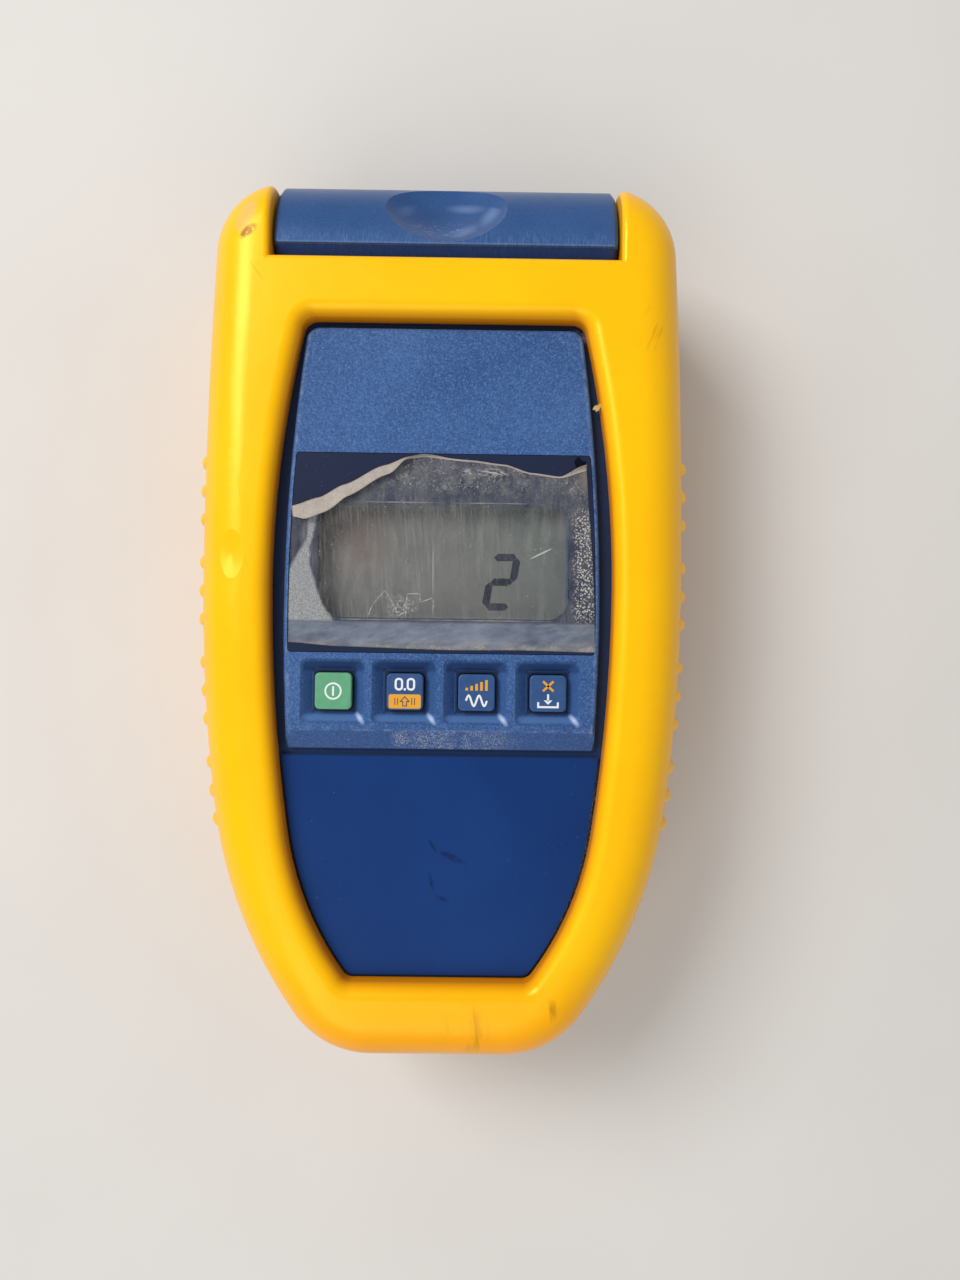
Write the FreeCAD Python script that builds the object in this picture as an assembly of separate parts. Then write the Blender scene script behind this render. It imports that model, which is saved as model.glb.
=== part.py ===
import FreeCAD, Part
import math
import os

# Handheld optical power meter in a rubber boot, in millimetres.
# It lies on its back: +Z leaves the display, +Y points to the fibre port end, +X is to the right.
# The origin is the middle of the footprint, on the surface that it lies on.

Vector = FreeCAD.Vector

# Drawing aids: how far a cut runs past its solid, and how close counts as the same place
overcut = 1.0
same_place = 1e-4
near_place = 0.1

# Boot outline: each side is a chain of tangent arcs from its widest point
boot_half_width = 39.9
boot_widest_y = 4.15
boot_top_y = 71.1
boot_bottom_y = -73.15
boot_depth = 41.0
boot_upper_radius = 985.0
boot_lower_radius = 279.0
boot_toe_radius = 76.0
boot_ear_corner = 12.0
boot_toe_corner = 16.2

# Boot section
boot_wall = 4.0
boot_back = 2.5
boot_lip = 4.8
boot_front_roll = 8.0
boot_rear_roll = 2.2
boot_lip_roll = 2.4
rear_window_inset = 12.0
rear_window_top_y = 45.15
rear_window_corner = 5.0
rear_window_roll = 0.8

# Notch between the ears, for the port cover
ear_width = 11.6
bridge_y = 57.1
bridge_edge_roll = 1.0
ear_tip_roll = 0.9

# Grip ribs
rib_groups = 4
ribs_per_group = 3
rib_pitch = 4.7
rib_group_pitch = 16.55
rib_anchor_group = 2
rib_anchor_drop = 0.785
rib_radius = 1.3
rib_height = 0.8
rib_start_z = 7.0
rib_turn_radius = 3.0
rib_turn_angle = 70.0

# Front opening of the boot
front_rim_width = 12.0
window_upper_radius = 183.0
window_lower_radius = 271.0
window_taper_y = -36.15
window_toe_radius = 51.5
window_top_y = 47.7
window_bottom_y = -59.85
window_top_corner = 2.3
window_bottom_corner = 2.0

# Housing shells
seat_gap = 0.2
shell_wall = 2.2
shell_top_y = 56.5
shell_top_corner = 3.0
part_line_z = 14.0

# Raised plateau of the front shell
plateau_side_gap = 2.1
plateau_middle_y = -0.85
plateau_side_radius = 326.0
plateau_top_y = 46.4
plateau_bottom_y = -22.3
plateau_top_corner = 2.3
plateau_bottom_corner = 0.7
plateau_height = 2.0
plateau_edge_roll = 0.6
ledge_length = 3.2
ledge_drop = 1.0

# Lower pad and its overlay
pad_top_y = -23.3
pad_margin = 0.4
pad_height = 0.6
label_margin = 0.2
label_thickness = 0.25

# Display
lens_side_margin = 0.8
lens_bottom_y = -6.5
lens_top_y = 25.9
lens_corner = 0.5
lens_thickness = 1.5
lens_gap = 0.1
screen_side_margin = 4.4
screen_bottom_y = -1.05
screen_top_y = 18.0
screen_corner = 3.3
glass_margin_x = 2.0
glass_margin_y = 2.5
glass_gap = 0.3
glass_thickness = 2.8
connector_height = 2.1
frame_wall = 1.5
frame_gap = 0.2
frame_ledge = 1.5
strip_width = 1.6
film_thickness = 0.12
film_lift = 0.02
film_left_overhang = 0.4
film_right_overhang = 0.23
film_foot_rise = 1.4
film_left_drop = 8.9
film_right_drop = 9.0
film_tear_step = 2.8

# Buttons
button_count = 4
button_row_margin = 2.44
button_row_y = -12.9
button_side = 6.0
button_corner = 0.8
button_gap = 0.15
button_sink = 0.1
button_travel = 0.8
button_edge_roll = 0.3
button_rest_gap = 0.05
flange_side = 8.0
flange_thickness = 0.6
flange_gap = 0.3
stem_side = 3.6
dish_web = 0.87
dish_side_y = 10.6
dish_depth = 1.6
dish_floor_side = 7.3
dish_corner = 1.0

# Circuit board and what it carries
board_thickness = 1.6
board_side_gap = 3.5
board_bottom_y = -22.85
board_top_y = 45.15
board_corner = 2.0
switch_side = 5.0
switch_height = 1.2
switch_button_radius = 1.3
switch_button_height = 0.2
mat_thickness = 0.8
mat_leg_height = 2.0
mat_side_gap = 0.6
mat_end_margin = 3.0
mat_hole_gap = 0.4
mat_leg_radius = 0.9
chip_side = 12.0
chip_thickness = 1.4
chip_lead_count = 10
chip_lead_reach = 0.9
chip_lead_thickness = 0.15
chip_y = 25.15
amplifier_length = 5.0
amplifier_width = 4.0
amplifier_thickness = 1.5
amplifier_lead_count = 4
amplifier_y = 37.15
amplifier_x = 14.0

# Screws
case_screw_top_inset = 5.1
case_screw_top_y = 49.4
case_screw_toe_y = -54.85
case_boss_radius = 3.0
case_boss_gap = 2.6
case_screw_radius = 1.2
case_head_radius = 2.3
case_head_height = 1.6
case_screw_front_room = 8.8
board_screw_inset = 3.5
board_screw_low_y = -19.35
board_screw_high_y = 41.15
board_boss_radius = 2.4
board_screw_radius = 0.9
board_head_radius = 1.8
board_head_height = 1.1
board_screw_reach = 3.4
board_hole_gap = 0.15
screw_gap = 0.05
screw_end_room = 1.0
slot_width = 0.6
slot_depth = 0.6
slot_reach = 0.6

# Battery, its compartment and its contacts
battery_side_room = 20.25
battery_length = 46.4
battery_bottom_y = -51.85
battery_corner = 1.5
terminal_radius = 2.9
terminal_length = 2.1
terminal_spread = 6.35
battery_gap = 0.35
compartment_wall = 1.6
compartment_top_y = 2.15
compartment_board_gap = 2.5
contact_width = 5.0
contact_thickness = 0.4
contact_touch_gap = 0.1
contact_low_rise = 3.95
contact_block_drop = 2.5
contact_block_side_room = 3.25

# Battery door
door_side_lap = 2.0
door_lap = 1.5
door_thickness = 2.0
door_gap = 0.25
door_travel = 6.0
door_tongue_reach = 1.4
door_tongue_thickness = 0.9
door_frame_margin = 3.4
door_ridge_count = 5
door_ridge_pitch = 2.4
door_ridge_radius = 0.5
door_ridge_length = 20.0
door_ridge_inset_y = 5.0

# Port cover and its hinge
cover_end_gap = 0.4
cover_lip_gap = 0.5
cover_end_y = 73.15
cover_front_drop = 1.7
cover_lip_drop = 0.5
cover_lip_length = 2.05
cover_lip_slope = 1.9
cover_edge_chamfer = 0.6
cover_wall = 2.0
cover_cheek_low_z = 17.0
hinge_y = 67.55
hinge_z = 12.0
hinge_lug_radius = 3.3
hinge_gap = 0.3
hinge_lug_width = 2.9
pin_radius = 1.5
pin_fit = 0.03
pin_running_fit = 0.08
pin_end_gap = 0.5
tongue_thickness = 2.0
tongue_gap = 0.5
tongue_end_y = 66.95
scoop_half_width = 9.95
scoop_depth = 3.1
scoop_wall = 1.6
scoop_angle = 59.0

# Fibre port, along +Y
port_z = 21.0
port_thread_radius = 4.5
port_hole_gap = 0.1
port_inner_y = 47.15
port_flange_radius = 6.2
port_flange_thickness = 1.2
port_gasket_thickness = 0.8
port_nose_radius = 3.6
port_nose_bore = 2.2
port_nose_length = 4.7
port_light_bore = 1.0
nut_sides = 6
nut_radius = 6.6
nut_thickness = 2.6
can_radius = 2.7
can_length = 3.6
can_fit = 0.05
can_header_step = 0.4
can_header_length = 0.5
lead_radius = 0.25
lead_spread = 1.27
lead_bend_y = 42.65
ferrule_bore = 1.25
ferrule_length = 8.0
adapter_radius = 5.0
adapter_ring_gap = 0.3
adapter_face = 0.9
adapter_fit = 0.08
adapter_sleeve_radius = 2.1
adapter_flute_count = 18
adapter_flute_radius = 0.5

# Plate on the back
plate_half_width = 20.0
plate_bottom_y = 9.15
plate_top_y = 37.15
plate_corner = 1.5
plate_thickness = 0.2

# Levels and places worked out from the sizes above
rib_anchor_y = boot_widest_y - rib_anchor_drop
boot_taper_y = rib_anchor_y - rib_anchor_group * rib_group_pitch - rib_pitch / 2
cavity_top_z = boot_depth - boot_lip
skirt_z = cavity_top_z - seat_gap
back_z = boot_back + seat_gap
plateau_z = skirt_z + plateau_height
wall_inner_z = skirt_z - shell_wall
floor_z = back_z + shell_wall
shell_inset = boot_wall + seat_gap
shell_room_half = boot_half_width - shell_inset - shell_wall
ear_inner_x = boot_half_width - ear_width
window_half_width = boot_half_width - front_rim_width
plateau_half_width = window_half_width - plateau_side_gap
lens_half_width = plateau_half_width - lens_side_margin
screen_half_width = lens_half_width - screen_side_margin
lens_floor_z = plateau_z - lens_thickness
glass_top_z = wall_inner_z - glass_gap
glass_low_z = glass_top_z - glass_thickness
board_top_z = glass_low_z - connector_height
board_bottom_z = board_top_z - board_thickness
board_half_width = shell_room_half - board_side_gap
board_screw_x = board_half_width - board_screw_inset
button_top_z = plateau_z - button_sink
button_pitch = 2 * (plateau_half_width - button_row_margin) / button_count
dish_side_x = button_pitch - dish_web
mat_bottom_z = board_top_z + mat_leg_height
mat_half_x = board_screw_x - board_boss_radius - mat_side_gap
mat_half_y = button_side / 2 + mat_end_margin
battery_width = 2 * (shell_room_half - battery_side_room)
battery_low_z = back_z + door_thickness + battery_gap
compartment_roof_z = board_bottom_z - compartment_board_gap - compartment_wall
battery_height = compartment_roof_z - battery_gap - battery_low_z
battery_top_y = battery_bottom_y + battery_length
terminal_end_y = battery_top_y + terminal_length
compartment_half_width = battery_width / 2 + battery_gap
compartment_bottom_y = battery_bottom_y - battery_gap
contact_low_z = battery_low_z + contact_low_rise
case_screw_top_x = shell_room_half - case_screw_top_inset
case_screw_toe_x = compartment_half_width + compartment_wall + case_boss_radius + case_boss_gap
case_screw_end_z = wall_inner_z - case_screw_front_room
door_half_width = compartment_half_width + door_side_lap
door_bottom_y = compartment_bottom_y - door_lap
door_top_y = compartment_top_y + door_lap
cover_half_width = ear_inner_x - cover_end_gap
cover_top_z = boot_depth - cover_front_drop
cover_lip_y = bridge_y + cover_lip_gap
lug_outer_x = cover_half_width - cover_wall - hinge_gap
barrel_radius = cover_end_y - hinge_y
gasket_y = shell_top_y + port_gasket_thickness
flange_y = gasket_y + port_flange_thickness
nose_end_y = flange_y + port_nose_length
adapter_end_y = nose_end_y + adapter_ring_gap + adapter_face
sleeve_y = adapter_end_y - ferrule_length
curve_y = cover_lip_y + cover_lip_length
curve_radius = cover_end_y - curve_y
curve_z = cover_top_z - curve_radius
switch_top_z = board_top_z + switch_height + switch_button_height


def box(x0, x1, y0, y1, z0, z1):
    """Block between two corners."""
    return Part.makeBox(x1 - x0, y1 - y0, z1 - z0, Vector(x0, y0, z0))


def cylinder_x(radius, x0, x1, y, z):
    return Part.makeCylinder(radius, x1 - x0, Vector(x0, y, z), Vector(1, 0, 0))


def cylinder_y(radius, y0, y1, x=0.0, z=port_z):
    return Part.makeCylinder(radius, y1 - y0, Vector(x, y0, z), Vector(0, 1, 0))


def cylinder_z(radius, x, y, z0, z1):
    return Part.makeCylinder(radius, z1 - z0, Vector(x, y, z0))


def extrude(wire, z0, z1):
    """Solid between two heights over a closed flat outline drawn at height 0."""
    face = Part.Face(wire)
    face.translate(Vector(0, 0, z0))
    return face.extrude(Vector(0, 0, z1 - z0))


def mirrored(shape):
    return shape.mirror(Vector(0, 0, 0), Vector(1, 0, 0))


def point_on(centre, radius, toward):
    """Point of a circle in the direction of another point."""
    return centre + (toward - centre).normalize() * radius


def arc_edge(centre, radius, start, end):
    middle = point_on(centre, radius, (start + end) * 0.5)
    return Part.Arc(start, middle, end).toShape()


def side_edges(widest, arcs, end_y, corner):
    """Tangent arcs from the widest point of a side to its rounded corner on a level end edge.

    Each arc is a radius and the y where the next one takes over; the last one has no such y.
    """
    edges = []
    start = widest
    inward = Vector(-1, 0, 0)
    for radius, stop_y in arcs:
        centre = start + inward * radius
        if stop_y is None:
            break
        reach = math.sqrt(radius ** 2 - (stop_y - centre.y) ** 2)
        stop = Vector(centre.x + reach, stop_y, 0)
        edges.append(arc_edge(centre, radius, start, stop))
        inward = (centre - stop).normalize()
        start = stop
    corner_y = end_y - math.copysign(corner, end_y - widest.y)
    across = math.sqrt((radius - corner) ** 2 - (corner_y - centre.y) ** 2)
    corner_centre = Vector(centre.x + across, corner_y, 0)
    touch = point_on(centre, radius, corner_centre)
    end = Vector(corner_centre.x, end_y, 0)
    edges.append(arc_edge(centre, radius, start, touch))
    edges.append(arc_edge(corner_centre, corner, touch, end))
    return edges, end


def outline(widest, upper_arcs, lower_arcs, top_y, bottom_y, top_corner, bottom_corner):
    """Closed outline, the same on both sides, with level top and bottom edges."""
    upper, top_end = side_edges(widest, upper_arcs, top_y, top_corner)
    lower, bottom_end = side_edges(widest, lower_arcs, bottom_y, bottom_corner)
    right = upper + lower
    left = [mirrored(edge) for edge in right]
    ends = []
    for end in (top_end, bottom_end):
        ends.append(Part.makeLine(end, Vector(-end.x, end.y, 0)))
    return Part.Wire(Part.__sortEdges__(right + left + ends))


def body_outline(inset, top_y, top_corner):
    """Outline of the boot, drawn in by an inset, with a top edge of its own."""
    widest = Vector(boot_half_width - inset, boot_widest_y, 0)
    upper = [(boot_upper_radius - inset, None)]
    lower = [(boot_lower_radius - inset, boot_taper_y), (boot_toe_radius - inset, None)]
    bottom_y = boot_bottom_y + inset
    return outline(widest, upper, lower, top_y, bottom_y, top_corner, boot_toe_corner - inset)


def window_outline(inset, top_y, top_corner):
    """Outline of the boot's front opening, drawn in by an inset."""
    widest = Vector(window_half_width - inset, boot_widest_y, 0)
    upper = [(window_upper_radius - inset, None)]
    lower = [(window_lower_radius - inset, window_taper_y), (window_toe_radius - inset, None)]
    bottom_y = window_bottom_y + inset
    return outline(widest, upper, lower, top_y, bottom_y, top_corner, window_bottom_corner)


def plateau_outline():
    widest = Vector(plateau_half_width, plateau_middle_y, 0)
    arcs = [(plateau_side_radius, None)]
    ends = (plateau_top_y, plateau_bottom_y, plateau_top_corner, plateau_bottom_corner)
    return outline(widest, arcs, arcs, *ends)


def edges_along(shape, direction):
    """Straight edges that run along a direction."""
    found = []
    for edge in shape.Edges:
        if edge.tangentAt(edge.FirstParameter).cross(direction).Length < same_place:
            found.append(edge)
    return found


def rounded_plate(x0, x1, y0, y1, z0, z1, corner):
    """Plate with rounded upright edges."""
    block = box(x0, x1, y0, y1, z0, z1)
    return block.makeFillet(corner, edges_along(block, Vector(0, 0, 1)))


def centred_plate(x, y, side_x, side_y, z0, z1, corner):
    half_x = side_x / 2
    half_y = side_y / 2
    return rounded_plate(x - half_x, x + half_x, y - half_y, y + half_y, z0, z1, corner)


def edges_at(shape, z, y_min=-math.inf, y_max=math.inf):
    """Edges that lie flat at one height, between two y values."""
    found = []
    for edge in shape.Edges:
        bounds = edge.BoundBox
        level = abs(bounds.ZMin - z) < same_place and abs(bounds.ZMax - z) < same_place
        if level and bounds.YMin > y_min and bounds.YMax < y_max:
            found.append(edge)
    return found


def rib_rows():
    """The y of each grip rib."""
    rows = []
    for group in range(rib_groups):
        group_y = rib_anchor_y + (group - rib_anchor_group) * rib_group_pitch
        for rib in range(ribs_per_group):
            rows.append(group_y + (rib - (ribs_per_group - 1) / 2) * rib_pitch)
    return rows


def boot_side_x(y):
    """Half width of the boot at a y between its ears and its toe."""
    radius = boot_upper_radius if y > boot_widest_y else boot_lower_radius
    centre = Vector(boot_half_width - radius, boot_widest_y, 0)
    if y < boot_taper_y:
        rise = boot_taper_y - centre.y
        taper = Vector(centre.x + math.sqrt(radius ** 2 - rise ** 2), boot_taper_y, 0)
        centre = taper + (centre - taper) * (boot_toe_radius / radius)
        radius = boot_toe_radius
    return centre.x + math.sqrt(radius ** 2 - (y - centre.y) ** 2)


def grip_rib(y):
    """Round rib up the side wall that turns over the front roll and sinks into it."""
    turn_z = boot_depth - boot_front_roll
    spine_x = boot_side_x(y) + rib_height - rib_radius
    start = Vector(spine_x, y, rib_start_z)
    upright = Part.makeCylinder(rib_radius, turn_z - rib_start_z, start)
    foot = Part.makeSphere(rib_radius, start)
    circle = Part.Circle(Vector(spine_x, y, turn_z), Vector(0, 0, 1), rib_radius)
    section = Part.Face(Part.Wire(circle.toShape()))
    pivot = Vector(spine_x - rib_turn_radius, y, turn_z)
    turn = section.revolve(pivot, Vector(0, -1, 0), rib_turn_angle)
    return upright.fuse([foot, turn])


def ear_tip_edges(shape):
    """Upright edges at the tips of both ears, beside the notch."""
    found = []
    for edge in shape.Edges:
        bounds = edge.BoundBox
        on_notch = abs(abs(bounds.XMin) - ear_inner_x) < same_place and bounds.XLength < same_place
        if on_notch and bounds.YMax > boot_top_y - boot_front_roll and bounds.ZMin > boot_back - overcut:
            found.append(edge)
    return found


def make_boot():
    """Rubber boot: one moulding with ears, a bridge, two openings and grip ribs."""
    body = extrude(body_outline(0, boot_top_y, boot_ear_corner), 0, boot_depth)
    body = body.makeFillet(boot_front_roll, edges_at(body, boot_depth))
    body = body.makeFillet(boot_rear_roll, edges_at(body, 0))
    ribs = [grip_rib(y) for y in rib_rows()]
    body = body.fuse(ribs + [mirrored(rib) for rib in ribs])
    notch = box(-ear_inner_x, ear_inner_x, bridge_y, boot_top_y + overcut, -overcut,
                boot_depth + overcut)
    body = body.cut(notch)
    bridge_edges = edges_at(body, boot_depth, bridge_y - near_place, bridge_y + near_place)
    body = body.makeFillet(bridge_edge_roll, bridge_edges)
    body = body.makeFillet(ear_tip_roll, ear_tip_edges(body))
    cavity = extrude(body_outline(boot_wall, shell_top_y + seat_gap, shell_top_corner),
                     boot_back, cavity_top_z)
    mouth = box(-ear_inner_x, ear_inner_x, shell_top_y - shell_wall, bridge_y + overcut,
                boot_back, cavity_top_z)
    window = extrude(window_outline(0, window_top_y, window_top_corner), part_line_z, boot_depth)
    rear_window = extrude(body_outline(rear_window_inset, rear_window_top_y, rear_window_corner),
                          0, boot_back)
    body = body.cut([cavity, mouth, window, rear_window])
    lip_edges = edges_at(body, boot_depth, window_bottom_y - near_place,
                         window_top_y + near_place)
    body = body.makeFillet(boot_lip_roll, lip_edges)
    rear_bottom_y = boot_bottom_y + rear_window_inset
    rear_edges = edges_at(body, 0, rear_bottom_y - near_place, rear_window_top_y + near_place)
    return body.makeFillet(rear_window_roll, rear_edges)


def button_xs():
    return [(i - (button_count - 1) / 2) * button_pitch for i in range(button_count)]


def rounded_wire(x, y, side_x, side_y, z, corner):
    """Rounded rectangle at one height."""
    plate = centred_plate(x, y, side_x, side_y, z, z + overcut, corner)
    return Part.Wire(Part.__sortEdges__(edges_at(plate, z)))


def dish(x):
    """Sloped well around a button."""
    slope = (dish_side_x - dish_floor_side) / 2
    floor_corner = max(dish_corner - slope / 2, button_corner)
    top = rounded_wire(x, button_row_y, dish_side_x, dish_side_y, plateau_z, dish_corner)
    floor = rounded_wire(x, button_row_y, dish_floor_side, dish_floor_side,
                         plateau_z - dish_depth, floor_corner)
    return Part.makeLoft([floor, top], True, True)


def button_hole(x):
    side = button_side + 2 * button_gap
    return centred_plate(x, button_row_y, side, side, wall_inner_z - overcut, plateau_z,
                         button_corner + button_gap)


def case_screw_places():
    places = []
    for side in (-1, 1):
        places.append((side * case_screw_top_x, case_screw_top_y))
        places.append((side * case_screw_toe_x, case_screw_toe_y))
    return places


def board_screw_places():
    places = []
    for side in (-1, 1):
        for y in (board_screw_low_y, board_screw_high_y):
            places.append((side * board_screw_x, y))
    return places


def raised_plateau():
    """Textured plateau with a sloped ledge along its bottom edge."""
    plateau = extrude(plateau_outline(), skirt_z, plateau_z)
    plateau = plateau.makeFillet(plateau_edge_roll, edges_at(plateau, plateau_z))
    ledge_y = plateau_bottom_y + ledge_length
    corners = [Vector(-boot_half_width, ledge_y, plateau_z),
               Vector(-boot_half_width, plateau_bottom_y, plateau_z - ledge_drop),
               Vector(-boot_half_width, plateau_bottom_y, plateau_z + overcut),
               Vector(-boot_half_width, ledge_y, plateau_z + overcut)]
    wedge = Part.Face(Part.makePolygon(corners + corners[:1]))
    return plateau.cut(wedge.extrude(Vector(2 * boot_half_width, 0, 0)))


def lower_area(margin, z0, z1):
    """Plate that follows the front opening, below the plateau."""
    plate = extrude(window_outline(margin, window_top_y - margin, window_top_corner), z0, z1)
    below = box(-boot_half_width, boot_half_width, boot_bottom_y, pad_top_y + pad_margin - margin,
                z0, z1)
    return plate.common(below)


def boss(x, y, radius, hole_radius, z0, z1, hole_z0, hole_z1):
    """Boss and the hole to cut in it once it is joined to its shell."""
    return cylinder_z(radius, x, y, z0, z1), cylinder_z(hole_radius, x, y, hole_z0, hole_z1)


def make_front_shell():
    """Front housing: skirt, raised plateau, lens pocket, button dishes, port hole and bosses."""
    shell = extrude(body_outline(shell_inset, shell_top_y, shell_top_corner), part_line_z, skirt_z)
    hollow = extrude(body_outline(shell_inset + shell_wall, shell_top_y - shell_wall,
                                  shell_top_corner), part_line_z, wall_inner_z)
    added = [raised_plateau(), lower_area(pad_margin, skirt_z, skirt_z + pad_height)]
    removed = []
    for x, y in case_screw_places():
        post, hole = boss(x, y, case_boss_radius, case_screw_radius + screw_gap,
                          part_line_z, wall_inner_z, part_line_z,
                          case_screw_end_z + screw_end_room)
        added.append(post)
        removed.append(hole)
    for x, y in board_screw_places():
        post, hole = boss(x, y, board_boss_radius, board_screw_radius + screw_gap,
                          board_top_z, wall_inner_z, board_top_z, board_top_z + board_screw_reach)
        added.append(post)
        removed.append(hole)
    removed.append(lens_plate(lens_gap, lens_floor_z, plateau_z))
    removed.append(rounded_plate(-screen_half_width, screen_half_width, screen_bottom_y,
                                 screen_top_y, wall_inner_z, lens_floor_z, screen_corner))
    for x in button_xs():
        removed.append(dish(x))
        removed.append(button_hole(x))
    removed.append(cylinder_y(port_thread_radius + port_hole_gap,
                              shell_top_y - shell_wall - overcut, shell_top_y + overcut))
    return shell.cut(hollow).fuse(added).cut(removed)


def hinge_lug():
    """Lug on the right of the rear shell's top wall, bored for its pin."""
    inner_x = lug_outer_x - hinge_lug_width
    root = box(inner_x, lug_outer_x, shell_top_y - shell_wall / 2, hinge_y,
               hinge_z - hinge_lug_radius, part_line_z)
    eye = cylinder_x(hinge_lug_radius, inner_x, lug_outer_x, hinge_y, hinge_z)
    bore = cylinder_x(pin_radius + pin_fit, inner_x, lug_outer_x, hinge_y, hinge_z)
    return root.fuse(eye).cut(bore)


def door_recess():
    """Room for the battery door and its slide, with grooves for its tongues."""
    low_y = door_bottom_y - door_travel - door_gap
    high_y = door_top_y + door_gap
    top_z = back_z + door_thickness + door_gap / 2
    half = door_half_width + door_gap
    recess = box(-half, half, low_y, high_y, back_z, top_z)
    half += door_tongue_reach
    groove_z = back_z + door_thickness - door_tongue_thickness - door_gap
    return recess.fuse(box(-half, half, low_y, high_y, groove_z, top_z))


def make_rear_shell():
    """Rear housing: battery compartment, door recess, hinge lugs and screw bosses."""
    shell = extrude(body_outline(shell_inset, shell_top_y, shell_top_corner), back_z, part_line_z)
    hollow = extrude(body_outline(shell_inset + shell_wall, shell_top_y - shell_wall,
                                  shell_top_corner), floor_z, part_line_z)
    frame_half = door_half_width + door_tongue_reach + door_frame_margin
    frame = box(-frame_half, frame_half, door_bottom_y - door_travel - door_frame_margin,
                door_top_y + door_frame_margin, back_z + shell_wall / 2,
                back_z + door_thickness + compartment_wall)
    wall_half = compartment_half_width + compartment_wall
    walls = box(-wall_half, wall_half, compartment_bottom_y - compartment_wall,
                compartment_top_y + compartment_wall, back_z + door_thickness + compartment_wall / 2,
                compartment_roof_z + compartment_wall)
    room = box(-compartment_half_width, compartment_half_width, compartment_bottom_y,
               compartment_top_y, back_z, compartment_roof_z)
    contact_slot = box(-compartment_half_width, compartment_half_width, battery_top_y,
                       compartment_top_y, compartment_roof_z, compartment_roof_z + compartment_wall)
    tongue_top_z = hinge_z - barrel_radius - tongue_gap
    tongue = box(-cover_half_width, cover_half_width, shell_top_y - shell_wall / 2, tongue_end_y,
                 tongue_top_z - tongue_thickness, tongue_top_z)
    added = [frame, walls, tongue, hinge_lug(), mirrored(hinge_lug())]
    removed = [room, contact_slot, door_recess()]
    for x, y in case_screw_places():
        post, hole = boss(x, y, case_boss_radius, case_screw_radius + screw_gap,
                          floor_z, part_line_z, back_z, part_line_z)
        head_room = cylinder_z(case_head_radius + screw_gap, x, y, back_z,
                               back_z + case_head_height + 2 * screw_gap)
        added.append(post)
        removed.extend([hole, head_room])
    return shell.cut(hollow).fuse(added).cut(removed)


def make_battery_door():
    """Sliding door with side tongues and finger ridges."""
    top_z = back_z + door_thickness
    plate = box(-door_half_width, door_half_width, door_bottom_y, door_top_y, back_z, top_z)
    half = door_half_width + door_tongue_reach
    tongue = box(-half, half, door_bottom_y + door_tongue_reach, door_top_y - door_tongue_reach,
                 top_z - door_tongue_thickness, top_z)
    ridges = []
    for ridge in range(door_ridge_count):
        y = door_bottom_y + door_ridge_inset_y + ridge * door_ridge_pitch
        half_length = door_ridge_length / 2
        ridges.append(cylinder_x(door_ridge_radius, -half_length, half_length, y, back_z))
    return plate.fuse([tongue] + ridges)


def make_battery():
    """Nine-volt block with its two snap terminals."""
    half = battery_width / 2
    block = box(-half, half, battery_bottom_y, battery_top_y, battery_low_z,
                battery_low_z + battery_height)
    block = block.makeFillet(battery_corner, edges_along(block, Vector(0, 1, 0)))
    middle_z = battery_low_z + battery_height / 2
    terminals = []
    for x in (-terminal_spread, terminal_spread):
        terminals.append(cylinder_y(terminal_radius, battery_top_y, terminal_end_y, x, middle_z))
    return block.fuse(terminals)


def make_contact_block():
    """Carrier that holds the two battery contacts against the compartment's end wall."""
    y0 = terminal_end_y + contact_touch_gap + contact_thickness + contact_touch_gap / 2
    half = compartment_half_width - contact_block_side_room
    return box(-half, half, y0, compartment_top_y - contact_touch_gap, battery_low_z,
               battery_low_z + battery_height - contact_block_drop)


def make_battery_contacts():
    """Two leaf contacts that rise from the terminals to solder feet under the board."""
    y0 = terminal_end_y + contact_touch_gap
    leaves = []
    for x in (-terminal_spread, terminal_spread):
        x0 = x - contact_width / 2
        x1 = x + contact_width / 2
        leaf = box(x0, x1, y0, y0 + contact_thickness, contact_low_z, board_bottom_z)
        foot = box(x0, x1, y0, y0 + contact_width / 2, board_bottom_z - contact_thickness,
                   board_bottom_z)
        leaves.append(leaf.fuse(foot))
    return Part.makeCompound(leaves)


def make_main_board():
    board = rounded_plate(-board_half_width, board_half_width, board_bottom_y, board_top_y,
                          board_bottom_z, board_top_z, board_corner)
    holes = []
    for x, y in board_screw_places():
        holes.append(cylinder_z(board_screw_radius + board_hole_gap, x, y, board_bottom_z,
                                board_top_z))
    return board.cut(holes)


def leaded_chip(x, y, length, width, thickness, leads):
    """Chip under the board, with a row of leads out of each long side."""
    half_x = width / 2
    half_y = length / 2
    body = box(x - half_x, x + half_x, y - half_y, y + half_y,
               board_bottom_z - thickness, board_bottom_z - chip_lead_thickness)
    pitch = length / leads
    half_lead = pitch / 4
    rows = []
    for lead in range(leads):
        lead_y = y + (lead - (leads - 1) / 2) * pitch
        rows.append(box(x - half_x - chip_lead_reach, x + half_x + chip_lead_reach,
                        lead_y - half_lead, lead_y + half_lead,
                        board_bottom_z - 2 * chip_lead_thickness, board_bottom_z))
    return body.fuse(rows)


def make_controller_chip():
    return leaded_chip(0, chip_y, chip_side, chip_side, chip_thickness, chip_lead_count)


def make_amplifier_chip():
    return leaded_chip(amplifier_x, amplifier_y, amplifier_length, amplifier_width,
                       amplifier_thickness, amplifier_lead_count)


def glass_box(margin, z0, z1):
    """Block over the display glass, larger by a margin."""
    half = screen_half_width + glass_margin_x + margin
    return box(-half, half, screen_bottom_y - glass_margin_y - margin,
               screen_top_y + glass_margin_y + margin, z0, z1)


def make_lcd_glass():
    return glass_box(0, glass_low_z, glass_top_z)


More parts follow.
